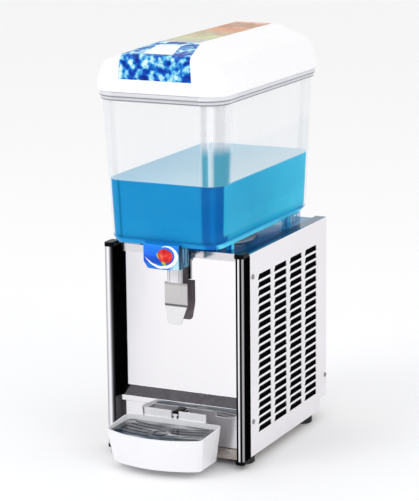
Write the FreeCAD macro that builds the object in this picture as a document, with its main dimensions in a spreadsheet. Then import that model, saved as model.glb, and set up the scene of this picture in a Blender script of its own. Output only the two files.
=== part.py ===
"""Countertop cold drink dispenser: one clear bowl over a refrigerated steel cabinet.

Millimetres. Origin on the counter under the middle of the bounding box, +X to the right of
someone who faces the tap, +Y to the rear, +Z up. Every size is a cell of the sheet DIMS.
"""
import FreeCAD, Part
import os
import re
from math import asin, atan2, cos, pi, radians, sin, sqrt

import Sketcher

DIMS = {
    # cabinet envelope
    "half_width": 125, "cabinet_top": 354, "cabinet_bottom": 15, "side_front": -99.5,
    "side_rear": 216.5, "skin": 1.2, "top_flange": 20, "edge_flange": 12,
    "notch_front": 180.5, "notch_mid": 188.5, "notch_mid_z": 21, "notch_top": 35,
    # louvres in the side panels
    "louvre_y": -69.7, "louvre_z": 49, "louvre_long": 52, "louvre_tall": 9.4,
    "louvre_front_slant": 5, "louvre_rear_slant": 1.5, "louvre_gap_y": 63.6, "louvre_gap_z": 13.45,
    "louvre_columns": 4, "louvre_rows": 20,
    # front posts and their caps
    "post_inner": 110, "post_front": -127.5, "post_rear": -99.9, "post_low": 14, "post_high": 351,
    "post_round": 6.5, "post_wall": 1.5, "post_lip": 3.5, "post_lip_y": -101.6,
    "cap_inner": 108.4, "cap_front": -128.6, "cap_rear": -99.7, "cap_top": 358, "cap_low": 8,
    "cap_round": 6,
    # base pan
    "pan_half": 123.6, "pan_step": 182, "pan_edge": 30, "strip_y": -107.6, "strip_half": 106,
    "strip_low": 10, "strip_high": 27, "pan_vent_long": 40, "pan_vent_wide": 6, "pan_vent_y": -34,
    "pan_vent_gap": 13, "pan_vents": 4,
    # splash panel: backsplash, sill, lip and lower panel in one bent sheet
    "splash_half": 109, "splash_y": -100.5, "splash_top": 351.2, "sill_top": 113.5,
    "sill_y": -111.5, "sill_low": 97, "lip_low": 88, "lower_y": -104.5, "lower_low": 27.4,
    "steel": 1,
    # deck
    "deck_low": 351.4, "deck_top": 352.6, "deck_rear": 206.6, "deck_lip": 340,
    # rear panel and uprights
    "rear_y": 205.6, "rear_low": 36.5, "rear_half": 122.6, "upright_leg": 15, "upright_low": 36.5,
    "rear_slot_long": 52, "rear_slot_tall": 5, "rear_slot_gap_x": 66, "rear_slot_gap_z": 14,
    "rear_slot_z": 180, "rear_slot_columns": 3, "rear_slot_rows": 11,
    # feet
    "foot_x": 105, "foot_front": -82, "foot_rear": 157.5, "foot_low_r": 15, "foot_high_r": 17,
    "foot_recess_r": 7, "foot_recess": 8, "foot_bolt_r": 2.5, "foot_bolt_head_r": 5,
    "foot_bolt_head": 3.5, "foot_bolt_top": 24,
    # sheet metal screws
    "screw_r": 1.8, "screw_head_r": 4, "screw_head": 1.6, "screw_grip": 7,
    "side_screw_y": -90, "side_screw_z": 73, "side_screw_top": 315, "side_screw_rear": 210.5,
    # compressor
    "comp_y": 102, "comp_r": 60, "comp_low": 36, "comp_belt": 120, "comp_top": 188,
    "comp_plate_x": 84, "comp_plate_y": 66, "comp_plate_low": 25, "comp_plate": 3,
    "comp_stud_x": 72, "comp_stud_y": 54, "stud_r": 3, "grommet_r": 9,
    # condenser
    "cond_y": -70, "cond_deep": 40, "cond_half": 86, "cond_low": 40, "cond_high": 224,
    "cond_pass": 24, "cond_passes": 7, "cond_run_half": 80, "cond_first": 58, "cond_tube_r": 4.5,
    "fin_gap": 6.6, "fin_count": 24,
    "fin_skin": 0.5,
    # condenser fan
    "fan_z": 132, "fan_r": 76, "fan_hub_r": 18, "fan_y": -26, "fan_hub_deep": 16,
    "shroud_y": -48.5, "shroud_deep": 14, "shroud_r": 82, "fan_motor_r": 28, "fan_motor_y": -12,
    "fan_motor_deep": 34, "fan_shaft_r": 3, "bracket_half": 6, "bracket_skin": 1.8,
    # cooling dome, its coil and foam
    "dome_y": 16, "dome_r": 66, "dome_top": 440, "dome_flange_r": 79, "dome_skin": 1.2,
    "dome_round": 9, "deck_hole_r": 64, "coil_r": 60, "coil_tube_r": 4, "coil_low": 362,
    "coil_gap": 11, "foam_r": 55.4, "foam_bore_r": 24, "foam_low": 340,
    "foam_top": 420, "seal_r": 77.5, "seal_low": 353.8, "seal_top": 357.6,
    # stirrer and its magnetic drive
    "spindle_r": 4, "spindle_top": 455, "stirrer_low": 441.2, "stirrer_top": 453.5,
    "stirrer_hub_r": 14, "stirrer_r": 46, "blade_thick": 2.4, "blade_low": 442.5,
    "drive_r": 20, "drive_low": 424,
    "drive_top": 437.6, "shaft_r": 3, "shaft_low": 322,
    "motor_r": 34, "motor_low": 280, "motor_top": 322, "hanger_low": 322, "hanger_half": 46,
    # bowl
    "bowl_low": 368, "bowl_bend": 379, "bowl_rim": 601, "rim_step": 607, "rim_top": 614,
    "bowl_wall": 3, "low_half": 94, "low_front": -155, "low_rear": 191, "low_round": 24,
    "bend_half": 100, "bend_front": -163, "bend_rear": 209, "bend_round": 30,
    "rim_half": 109.5, "rim_front": -176, "rim_rear": 218, "rim_round": 36,
    "rim_out": 2.5, "rim_lip": 5, "collar_r": 72, "collar_bore_r": 67.6, "collar_low": 358,
    "collar_top": 378, "bowl_outlet_y": -144.5, "bowl_outlet_r": 5, "bowl_foot_low": 353,
    "bowl_foot_x": 78, "bowl_foot_front": -74, "bowl_foot_rear": 152, "bowl_foot_r": 7,
    # bowl side clips
    "clip_in": 101, "clip_out": 105.6, "clip_front": 78, "clip_long": 70, "clip_low": 354.4,
    "clip_high": 374, "clip_rib": 3, "clip_rib_count": 6,
    # lid
    "lid_low": 614.6, "lid_wall": 2.4, "lid_front": -181, "lid_rear": 224.5,
    "lid_z1": 630, "lid_z2": 650, "lid_z3": 662, "lid_z4": 669, "lid_z5": 675, "lid_z6": 686,
    "lid_w0": 116, "lid_w2": 107, "lid_w3": 96, "lid_w4": 74, "lid_w5": 59, "lid_w6": 35,
    "lid_top_front": -87.5, "lid_top_rear": 204, "lid_round": 38,
    # tap: body, valve and cover
    "tap_half": 18, "tap_front": -154, "tap_rear": -124.5, "tap_low": 340, "tap_top": 368,
    "tap_ear_in": 13.2, "tap_ear_rear": -110, "valve_z": 354, "valve_chamber_r": 9,
    "valve_chamber_front": -151, "valve_seat": -138, "valve_back": -127, "valve_port_r": 5,
    "valve_head_r": 7.6, "valve_head": 3, "valve_stem_r": 2, "valve_stem_end": -120.9,
    "spring_r": 5, "spring_wire": 0.6, "spring_gap": 1.9, "spring_turns": 4.25,
    "nozzle_y": -131.5, "nozzle_r": 8, "nozzle_bore_r": 4, "nozzle_low": 327,
    "cover_half": 33, "cover_front": -173, "cover_side": -165, "cover_rear": -130,
    "cover_low": 333.5, "cover_top": 373, "cover_deep_top": 366.4, "cover_wall": 2,
    "cover_cut": 11, "cover_bend": 4,
    # dispensing lever
    "pivot_y": -116, "pivot_z": 342, "pivot_r": 2, "lever_arm_half": 12.5, "arm_front": -120.4,
    "arm_rear": -115.1, "arm_low": 299.5, "arm_high": 357.5, "arm_boss_r": 5.2,
    "plate_half": 20.5, "plate_tab_half": 9, "plate_tab_top": 336, "plate_top": 298.8,
    "plate_bend": 262, "plate_low": 230, "plate_low_y": -122.5, "plate_thick": 1.5,
    "plate_tip_half": 11, "plate_tip_round": 8, "lever_screw_z": 331,
    # drip tray
    "tray_half": 87, "tray_rear": -125, "tray_nose": -225.3, "tray_bow": 21,
    "tray_low": 13, "tray_top": 71, "tray_front_top": 66, "tray_draft": 8, "tray_front_draft": 9,
    "tray_wall": 2.4, "tray_floor": 2.5, "tray_round": 12, "tray_back_half": 56,
    "tray_back_top": 85, "tray_gap": 7, "tray_gap_low": 72, "tab_low": 76.6, "tab_high": 79.4,
    "tab_rear": -110.5, "peg_r": 3.5, "peg_x": 70, "peg_rear": -136, "peg_front": -192,
    "grid_low": 61.4, "grid_thick": 1.8, "grid_gap": 0.8, "grid_slot": 1.6, "grid_row": 13,
    "grid_slot_x": 10, "grid_slot_r": 240, "grid_ring_0": -4, "medal_y": -178, "medal_r": 13,
    # tray clip on the lower panel
    "hook_half": 5.5, "hook_front": -122, "hook_low": 73.4, "hook_high": 82.8,
    # refrigerant pipes
    "pipe_r": 3, "suction_r": 4, "capillary_r": 1.2,
    # controls on the rear
    "switch_z": 96, "switch_x": 78, "switch_gap": 34, "bezel_half_x": 11, "bezel_half_z": 16,
    "rocker_half_x": 8, "rocker_half_z": 12, "rocker_tilt": 8, "rocker_pin_r": 1.5, "knob_x": -32,
    "knob_z": 96,
    "knob_r": 15, "knob_deep": 8, "gland_x": -78, "gland_z": 66, "gland_r": 9,
}

doc = FreeCAD.newDocument("drink_dispenser")
sheet = doc.addObject("Spreadsheet::Sheet", "dims")
for row, (name, size) in enumerate(DIMS.items(), start=1):
    sheet.set(f"A{row}", name)
    sheet.set(f"B{row}", str(size))
    sheet.setAlias(f"B{row}", name)
doc.recompute()

NODES = []
SIDES = (-1, 1)
PLANE_OF = {"X": "YZ_Plane", "Y": "XZ_Plane", "Z": "XY_Plane"}
SIDE_SCREWS = [("side_screw_y", "side_screw_z"), ("side_screw_y", "side_screw_top"),
               ("side_screw_rear", "side_screw_z")]
SWITCH_X = ["switch_x", "switch_x - switch_gap"]
# a rocker's section: share of its half height up or down, and millimetres out of the panel
ROCKER_SECTION = [(-0.875, -12), (0.875, -12), (0.95, 2.6), (0.56, 3.6), (0, 2.2), (-0.56, 3.6),
                  (-0.95, 2.6)]


# ---------------------------------------------------------------- sheet and sketches

def bound(size):
    """An expression on the sheet: each alias in the text gets the sheet's name."""
    return re.sub(r"[a-z_]\w*", lambda m: f"dims.{m[0]}" if m[0] in DIMS else m[0], str(size))


def value(size):
    """The number that an expression on the sheet comes to now."""
    return float(sheet.evalExpression(bound(size)))


def tie(sketch, kind, *where):
    """Add a constraint whose last entry is a size on the sheet, and bind it."""
    *where, size = where
    index = sketch.addConstraint(Sketcher.Constraint(kind, *where, value(size)))
    sketch.setExpression(f"Constraints[{index}]", bound(size))


def pin(sketch, curve, end, x, y):
    """Tie one point of a curve to its distances from the sketch's origin."""
    tie(sketch, "DistanceX", -1, 1, curve, end, x)
    tie(sketch, "DistanceY", -1, 1, curve, end, y)


def chain(sketch, curves):
    """Add curves that run end to start into a closed loop, and join them."""
    first = sketch.GeometryCount
    for curve in curves:
        sketch.addGeometry(curve, False)
    last = first + len(curves)
    for index in range(first, last):
        follower = index + 1 if index + 1 < last else first
        sketch.addConstraint(Sketcher.Constraint("Coincident", index, 2, follower, 1))
    return first


def at(x, y, z=0):
    return FreeCAD.Vector(value(x), value(y), value(z))


def polygon(points):
    """A straight-sided loop through points, each a pair of sizes."""
    def draw(sketch):
        spots = [at(x, y) for x, y in points]
        ends = spots[1:] + spots[:1]
        first = chain(sketch, [Part.LineSegment(a, b) for a, b in zip(spots, ends)])
        for index, (x, y) in enumerate(points):
            pin(sketch, first + index, 1, x, y)
    return draw


def rect(x, y):
    """A rectangle between the sizes in x and those in y."""
    return polygon([(x[0], y[0]), (x[1], y[0]), (x[1], y[1]), (x[0], y[1])])


def circle(x, y, radius):
    def draw(sketch):
        curve = Part.Circle(at(x, y), FreeCAD.Vector(0, 0, 1), value(radius))
        index = sketch.addGeometry(curve, False)
        pin(sketch, index, 3, x, y)
        tie(sketch, "Radius", index, radius)
    return draw


def hexagon(x, y, radius):
    """A nut's outline, corners at the radius."""
    return polygon([(f"{x} + {radius} * {cos(radians(60 * i)):.4f}",
                     f"{y} + {radius} * {sin(radians(60 * i)):.4f}") for i in range(6)])


def rounded(x, y, radius):
    """A rectangle with four corners of one radius."""
    def draw(sketch):
        low, high, rad = at(x[0], y[0]), at(x[1], y[1]), value(radius)
        centres = [(high.x - rad, high.y - rad), (low.x + rad, high.y - rad),
                   (low.x + rad, low.y + rad), (high.x - rad, low.y + rad)]
        curves = []
        for turn, centre in enumerate(centres):
            ring = Part.Circle(FreeCAD.Vector(*centre, 0), FreeCAD.Vector(0, 0, 1), rad)
            arc = Part.ArcOfCircle(ring, turn * pi / 2, (turn + 1) * pi / 2)
            after = centres[(turn + 1) % 4]
            out = FreeCAD.Vector(rad * cos((turn + 1) * pi / 2), rad * sin((turn + 1) * pi / 2), 0)
            curves += [arc, Part.LineSegment(arc.EndPoint, FreeCAD.Vector(*after, 0) + out)]
        first = sketch.GeometryCount
        for curve in curves:
            sketch.addGeometry(curve, False)
        for index in range(8):
            follower = first + (index + 1) % 8
            sketch.addConstraint(Sketcher.Constraint("Tangent", first + index, 2, follower, 1))
        for corner in (2, 4, 6):
            sketch.addConstraint(Sketcher.Constraint("Equal", first, first + corner))
        tie(sketch, "Radius", first, radius)
        tie(sketch, "DistanceY", -1, 1, first + 1, 1, y[1])
        tie(sketch, "DistanceX", -1, 1, first + 3, 1, x[0])
        tie(sketch, "DistanceY", -1, 1, first + 5, 1, y[0])
        tie(sketch, "DistanceX", -1, 1, first + 7, 1, x[1])
    return draw


def bowed(half, rear, nose, bow, radius):
    """A tray outline: straight rear and sides, rounded corners, and a front that bows out."""
    wide = f"((({half})^2 + ({bow})^2) / (2 * ({bow})))"

    def draw(sketch):
        axis = FreeCAD.Vector(0, 0, 1)
        side, back, rad, big = value(half), value(rear), value(radius), value(wide)
        hub = FreeCAD.Vector(0, value(nose) + big, 0)
        drop = sqrt((big - rad) ** 2 - (side - rad) ** 2)
        low = hub + FreeCAD.Vector(side - rad, -drop, 0)
        touch = atan2(-drop, side - rad)
        right, left = FreeCAD.Vector(side, 0, 0), FreeCAD.Vector(-side, 0, 0)
        up, inner = FreeCAD.Vector(0, 1, 0), 1 - rad / side

        def arc(x, y, rad, start, end):
            return Part.ArcOfCircle(Part.Circle(FreeCAD.Vector(x, y, 0), axis, rad), start, end)

        curves = [
            Part.LineSegment(right + up * low.y, right + up * (back - rad)),
            arc(side - rad, back - rad, rad, 0, pi / 2),
            Part.LineSegment(up * back + right * inner, up * back + left * inner),
            arc(rad - side, back - rad, rad, pi / 2, pi),
            Part.LineSegment(left + up * (back - rad), left + up * low.y),
            arc(-low.x, low.y, rad, pi, 3 * pi / 2 - (touch + pi / 2)),
            arc(0, hub.y, big, 3 * pi / 2 - (touch + pi / 2), 2 * pi + touch),
            arc(low.x, low.y, rad, 2 * pi + touch, 2 * pi)]
        first = sketch.GeometryCount
        for curve in curves:
            sketch.addGeometry(curve, False)
        for index in range(8):
            follower = first + (index + 1) % 8
            sketch.addConstraint(Sketcher.Constraint("Tangent", first + index, 2, follower, 1))
        for corner in (3, 5, 7):
            sketch.addConstraint(Sketcher.Constraint("Equal", first + 1, first + corner))
        tie(sketch, "Radius", first + 1, radius)
        tie(sketch, "DistanceX", -1, 1, first, 1, half)
        tie(sketch, "DistanceY", -1, 1, first + 2, 1, rear)
        tie(sketch, "DistanceX", -1, 1, first + 4, 1, f"-({half})")
        tie(sketch, "Radius", first + 6, wide)
        tie(sketch, "DistanceY", -1, 1, first + 6, 3, f"{nose} + {wide}")
    return draw


# ---------------------------------------------------------------- bodies and features

def new_body(label):
    part = doc.addObject("PartDesign::Body", label)
    part.Label = label
    NODES.append(part)
    return part


def datum(part, role):
    return next(item for item in part.Origin.OriginFeatures if item.Role == role)


def sketch_on(part, axis, offset, loops):
    """A sketch square to an axis, at a size along it, with its loops drawn."""
    sketch = part.newObject("Sketcher::SketchObject", f"{part.Label}_sketch")
    sketch.AttachmentSupport = [(datum(part, PLANE_OF[axis]), "")]
    sketch.MapMode = "FlatFace"
    along = f"-({offset})" if axis == "Y" else offset
    sketch.setExpression("AttachmentOffset.Base.z", bound(along))
    for draw in loops:
        draw(sketch)
    return sketch


def extrude(part, kind, axis, loops, low, high):
    """Pad or pocket loops along an axis, from its low size to its high one."""
    start = high if axis == "Y" else low
    feature = part.newObject(f"PartDesign::{kind}", f"{part.Label}_{kind.lower()}")
    feature.Profile = sketch_on(part, axis, start, loops)
    feature.setExpression("Length", bound(f"({high}) - ({low})"))
    feature.Reversed = kind == "Pocket"
    part.Tip = feature
    return feature


def pad(part, axis, loops, low, high):
    return extrude(part, "Pad", axis, loops, low, high)


def cut(part, axis, loops, low, high):
    """Pocket, with a check that it takes material away."""
    before = shape_now(part).Volume
    feature = extrude(part, "Pocket", axis, loops, low, high)
    if shape_now(part).Volume > before - 0.01:
        raise RuntimeError(f"a cut in {part.Label} takes nothing away")
    return feature


def shape_now(part):
    doc.recompute()
    return part.Shape


def block(part, x, y, z):
    return pad(part, "Z", [rect(x, y)], z[0], z[1])


def turned(part, profile):
    """A full revolution about the body's own Z of a profile in radius and height."""
    feature = part.newObject("PartDesign::Revolution", f"{part.Label}_turn")
    feature.Profile = sketch_on(part, "Y", 0, [polygon(profile)])
    feature.ReferenceAxis = (datum(part, "Z_Axis"), [""])
    feature.Angle = 360
    return feature


def lathe(label, profile, x=0, y=0):
    """A turned piece whose axis stands at x, y."""
    part = new_body(label)
    turned(part, profile)
    place(part, x, y)
    return part


def place(part, x=0, y=0, z=0, axis=None):
    """Move a body, and lay its own Z along +Y or +X when axis says so."""
    if axis:
        turn = {"Y": ((1, 0, 0), -90), "X": ((0, 1, 0), 90)}[axis]
        spin = FreeCAD.Rotation(FreeCAD.Vector(*turn[0]), turn[1])
        part.Placement = FreeCAD.Placement(FreeCAD.Vector(), spin)
    for name, size in zip("xyz", (x, y, z)):
        part.setExpression(f"Placement.Base.{name}", bound(size))


def loft(part, kind, sections):
    """Straight-ruled loft through sections, each a height and one loop."""
    sketches = [sketch_on(part, "Z", height, [loop]) for height, loop in sections]
    feature = part.newObject(f"PartDesign::{kind}Loft", f"{part.Label}_loft")
    feature.Profile = sketches[0]
    feature.Sections = sketches[1:]
    feature.Ruled = True
    part.Tip = feature
    return feature


def repeat(part, feature, along, gap, count, along2=None, gap2=None, count2=None):
    """Repeat a feature along one axis, or two, at a gap bound to the sheet."""
    feature_row = part.newObject("PartDesign::LinearPattern", f"{part.Label}_pattern")
    feature_row.Originals = [feature]
    feature_row.Direction = (datum(part, f"{along}_Axis"), [""])
    feature_row.setExpression("Length", bound(f"({gap}) * (({count}) - 1)"))
    feature_row.setExpression("Occurrences", bound(count))
    if along2:
        feature_row.Direction2 = (datum(part, f"{along2}_Axis"), [""])
        feature_row.setExpression("Length2", bound(f"({gap2}) * (({count2}) - 1)"))
        feature_row.setExpression("Occurrences2", bound(count2))
    part.Tip = feature_row
    return feature_row


def ring_of(part, feature, count):
    """Repeat a feature about the body's own Z."""
    ring = part.newObject("PartDesign::PolarPattern", f"{part.Label}_ring")
    ring.Originals = [feature]
    ring.Axis = (datum(part, "Z_Axis"), [""])
    ring.Angle = 360
    ring.Occurrences = count
    part.Tip = ring
    return ring


def dress(part, kind, size, chosen):
    """Fillet or chamfer the edges of the body that chosen(edge) picks."""
    shape = shape_now(part)
    names = [f"Edge{i}" for i, edge in enumerate(shape.Edges, start=1) if chosen(edge)]
    if not names:
        raise RuntimeError(f"no edge of {part.Label} to {kind.lower()}")
    base = part.Tip
    feature = part.newObject(f"PartDesign::{kind}", f"{part.Label}_{kind.lower()}")
    feature.Base = (base, names)
    feature.setExpression("Radius" if kind == "Fillet" else "Size", bound(size))
    part.Tip = feature
    doc.recompute()
    return feature


def span(side, near, far):
    """Low and high X of a band between two distances from the middle, on one side."""
    return (near, far) if side > 0 else (f"-({far})", f"-({near})")


def level_edges(height):
    """Pick edges that lie flat at one height."""
    def chosen(edge):
        box = edge.BoundBox
        return abs(box.ZMin - value(height)) < 0.01 and box.ZLength < 0.01
    return chosen


def long_edges_through(spots):
    """Pick edges that run the length of a bent sheet through y, z spots of its section."""
    def chosen(edge):
        box = edge.BoundBox
        return box.XLength > 100 and any(
            abs(box.YMin - value(y)) < 0.01 and abs(box.ZMin - value(z)) < 0.01 for y, z in spots)
    return chosen


# ---------------------------------------------------------------- cabinet

def make_base_pan():
    part = new_body("base_pan")
    low, step = "cabinet_bottom", "pan_step"
    floor = polygon([
        ("side_front + 2", low), (step, low), (step, "notch_top"), ("rear_y - 2", "notch_top"),
        ("rear_y - 2", "notch_top + skin"), (f"{step} - skin", "notch_top + skin"),
        (f"{step} - skin", f"{low} + skin"), ("side_front + 2", f"{low} + skin")])
    pad(part, "X", [floor], "-pan_half", "pan_half")
    for side in SIDES:
        block(part, span(side, "pan_half - skin", "pan_half"), ("side_front + 2", step),
              (low, "pan_edge"))
    strip = polygon([
        ("strip_y", "strip_low"), ("strip_y + skin", "strip_low"), ("strip_y + skin", low),
        ("side_front + 2", low), ("side_front + 2", f"{low} + skin"),
        ("strip_y + skin", f"{low} + skin"), ("strip_y + skin", "strip_high"),
        ("strip_y", "strip_high")])
    pad(part, "X", [strip], "-strip_half", "strip_half")
    holes = [circle(f"{side} * foot_x", y, "foot_bolt_r + 0.3")
             for side in SIDES for y in ("foot_front", "foot_rear")]
    cut(part, "Z", holes, f"{low} - 1", f"{low} + skin + 1")
    slot = rounded(("-pan_vent_long / 2", "pan_vent_long / 2"),
                   ("pan_vent_y", "pan_vent_y + pan_vent_wide"), "pan_vent_wide / 2 - 0.1")
    vent = cut(part, "Z", [slot], f"{low} - 1", f"{low} + skin + 1")
    repeat(part, vent, "Y", "pan_vent_gap", "pan_vents")


def make_rubber_feet():
    part = new_body("rubber_feet")
    places = [(f"{side} * foot_x", y) for side in SIDES for y in ("foot_front", "foot_rear")]
    pad(part, "Z", [circle(x, y, "foot_high_r") for x, y in places], 0, "cabinet_bottom")
    dress(part, "Chamfer", "foot_high_r - foot_low_r", level_edges(0))
    cut(part, "Z", [circle(x, y, "foot_recess_r") for x, y in places], -1, "foot_recess")
    cut(part, "Z", [circle(x, y, "foot_bolt_r + 0.1") for x, y in places], 5, 20)
    bolts = new_body("foot_bolts")
    head = ("foot_recess - foot_bolt_head", "foot_recess")
    pad(bolts, "Z", [circle(x, y, "foot_bolt_head_r") for x, y in places], *head)
    pad(bolts, "Z", [circle(x, y, "foot_bolt_r") for x, y in places], head[0], "foot_bolt_top")


def make_side_panel(side):
    part = new_body("side_panel_right" if side > 0 else "side_panel_left")
    outline = polygon([
        ("side_front", "cabinet_bottom"), ("notch_front", "cabinet_bottom"),
        ("notch_mid", "notch_mid_z"), ("notch_mid", "notch_top - 2"),
        ("notch_mid + 2", "notch_top"), ("side_rear", "notch_top"),
        ("side_rear", "cabinet_top"), ("side_front", "cabinet_top")])
    skin = span(side, "half_width - skin", "half_width")
    pad(part, "X", [outline], *skin)
    deep = span(side, "half_width - edge_flange", "half_width - skin / 2")
    block(part, span(side, "half_width - top_flange", "half_width - skin / 2"),
          ("side_front", "side_rear"), ("cabinet_top - skin", "cabinet_top"))
    block(part, deep, ("side_rear - skin", "side_rear"), ("notch_top", "cabinet_top - skin / 2"))
    block(part, span(side, "post_inner + 1", "half_width - skin / 2"),
          ("side_front", "side_front + skin"), ("pan_edge + 2", "deck_low - 1"))
    slot = polygon([
        ("louvre_y", "louvre_z"), ("louvre_y + louvre_long", "louvre_z"),
        ("louvre_y + louvre_long - louvre_rear_slant", "louvre_z + louvre_tall"),
        ("louvre_y + louvre_front_slant", "louvre_z + louvre_tall")])
    through = span(side, "half_width - 2 * skin", "half_width + 1")
    first = cut(part, "X", [slot], *through)
    repeat(part, first, "Y", "louvre_gap_y", "louvre_columns", "Z", "louvre_gap_z", "louvre_rows")
    cut(part, "X", [circle(y, z, "screw_r + 0.1") for y, z in SIDE_SCREWS], *through)


def make_side_screws():
    part = new_body("side_panel_screws")
    for side in SIDES:
        heads = [circle(y, z, "screw_head_r") for y, z in SIDE_SCREWS]
        shanks = [circle(y, z, "screw_r") for y, z in SIDE_SCREWS]
        pad(part, "X", shanks, *span(side, "half_width - screw_grip", "half_width"))
        pad(part, "X", heads, *span(side, "half_width", "half_width + screw_head"))


def make_posts():
    for side in SIDES:
        part = new_body("front_post_right" if side > 0 else "front_post_left")
        outer = rect(span(side, "post_inner", "half_width"), ("post_front", "post_rear"))
        inner = rect(span(side, "post_inner + post_wall", "half_width - post_wall"),
                     ("post_front + post_wall", "post_rear - post_wall"))
        pad(part, "Z", [outer, inner], "post_low", "post_high")
        dress(part, "Fillet", "post_round", front_corners("post_front"))
        dress(part, "Fillet", "post_round - post_wall", front_corners("post_front + post_wall"))
        block(part, span(side, "post_inner - post_lip", "post_inner + post_wall / 2"),
              ("post_lip_y - steel", "post_lip_y"), ("strip_high + 1", "splash_top"))
    caps = new_body("post_caps")
    loops = [rounded(span(side, "cap_inner", "half_width"), ("cap_front", "cap_rear"), "cap_round")
             for side in SIDES]
    for low, high in (("post_high", "cap_top"), ("cap_low", "post_low")):
        pad(caps, "Z", loops, low, high)
        dress(caps, "Chamfer", 1.2, level_edges("cap_top" if low == "post_high" else "cap_low"))


def front_corners(y):
    """Pick upright edges that stand at one Y."""
    def chosen(edge):
        box = edge.BoundBox
        return box.ZLength > 100 and abs(box.YMin - value(y)) < 0.01 and box.YLength < 0.01
    return chosen


def make_splash_panel():
    part = new_body("splash_panel")
    profile = polygon([
        ("splash_y", "splash_top"), ("splash_y", "sill_top"), ("sill_y", "sill_low"),
        ("sill_y", "lip_low"), ("lower_y", "lip_low"), ("lower_y", "lower_low"),
        ("lower_y + steel", "lower_low"), ("lower_y + steel", "lip_low + steel"),
        ("sill_y + steel", "lip_low + steel"), ("sill_y + steel", "sill_low - 0.3"),
        ("splash_y + steel", "sill_top - 0.3"), ("splash_y + steel", "splash_top")])
    pad(part, "X", [profile], "-splash_half", "splash_half")
    bends = [("splash_y", "sill_top"), ("sill_y", "sill_low"), ("sill_y", "lip_low")]
    dress(part, "Fillet", "steel * 0.9", long_edges_through(bends))
    window = rect(("-hook_half - 0.2", "hook_half + 0.2"), ("hook_low - 0.2", "hook_high + 0.2"))
    cut(part, "Y", [window], "lower_y - 1", "lower_y + 2 * steel")


def make_deck():
    part = new_body("deck_plate")
    block(part, ("-pan_half", "pan_half"), ("side_front + skin", "deck_rear - skin"),
          ("deck_low", "deck_top"))
    block(part, ("-post_inner + post_lip", "post_inner - post_lip"),
          ("splash_y - 2 * steel", "side_front + skin + 0.5"), ("deck_low", "deck_top"))
    block(part, ("-post_inner + post_lip + 0.3", "post_inner - post_lip - 0.3"),
          ("splash_y - 2 * steel", "splash_y - steel"), ("deck_lip", "deck_top"))
    cut(part, "Z", [circle(0, "dome_y", "deck_hole_r")], "deck_low - 1", "deck_top + 1")


def make_rear():
    posts = new_body("rear_uprights")
    for side in SIDES:
        block(posts, span(side, "rear_half - upright_leg", "rear_half"),
              ("rear_y - skin", "rear_y"), ("upright_low", "deck_low"))
        block(posts, span(side, "rear_half - skin", "rear_half"),
              ("rear_y - upright_leg", "rear_y - skin / 2"), ("upright_low + 1", "deck_low"))
    part = new_body("rear_panel")
    block(part, ("-rear_half", "rear_half"), ("rear_y", "rear_y + skin"), ("rear_low", "deck_low"))
    through = ("rear_y - 1", "rear_y + 2 * skin")
    slot = rounded(("-rear_slot_gap_x - rear_slot_long / 2", "-rear_slot_gap_x + rear_slot_long / 2"),
                   ("rear_slot_z", "rear_slot_z + rear_slot_tall"), "rear_slot_tall / 2 - 0.1")
    first = cut(part, "Y", [slot], *through)
    repeat(part, first, "X", "rear_slot_gap_x", "rear_slot_columns",
           "Z", "rear_slot_gap_z", "rear_slot_rows")
    windows = [rect((f"{x} - bezel_half_x + 2", f"{x} + bezel_half_x - 2"),
                    ("switch_z - bezel_half_z + 2", "switch_z + bezel_half_z - 2"))
               for x in SWITCH_X]
    holes = [circle("knob_x", "knob_z", 4.2), circle("gland_x", "gland_z", "gland_r - 3")]
    cut(part, "Y", windows + holes, *through)
    screws = new_body("rear_panel_screws")
    places = [(f"{side} * (rear_half - upright_leg / 2)", z)
              for side in SIDES for z in ("rear_low + 14", "(rear_low + deck_low) / 2", "deck_low - 14")]
    cut(part, "Y", [circle(x, z, "screw_r + 0.1") for x, z in places], *through)
    cut(posts, "Y", [circle(x, z, "screw_r + 0.1") for x, z in places], "rear_y - 2", "rear_y + 1")
    pad(screws, "Y", [circle(x, z, "screw_r") for x, z in places], "rear_y - 6", "rear_y + skin")
    pad(screws, "Y", [circle(x, z, "screw_head_r") for x, z in places],
        "rear_y + skin", "rear_y + skin + screw_head")


# ---------------------------------------------------------------- refrigeration

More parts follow.
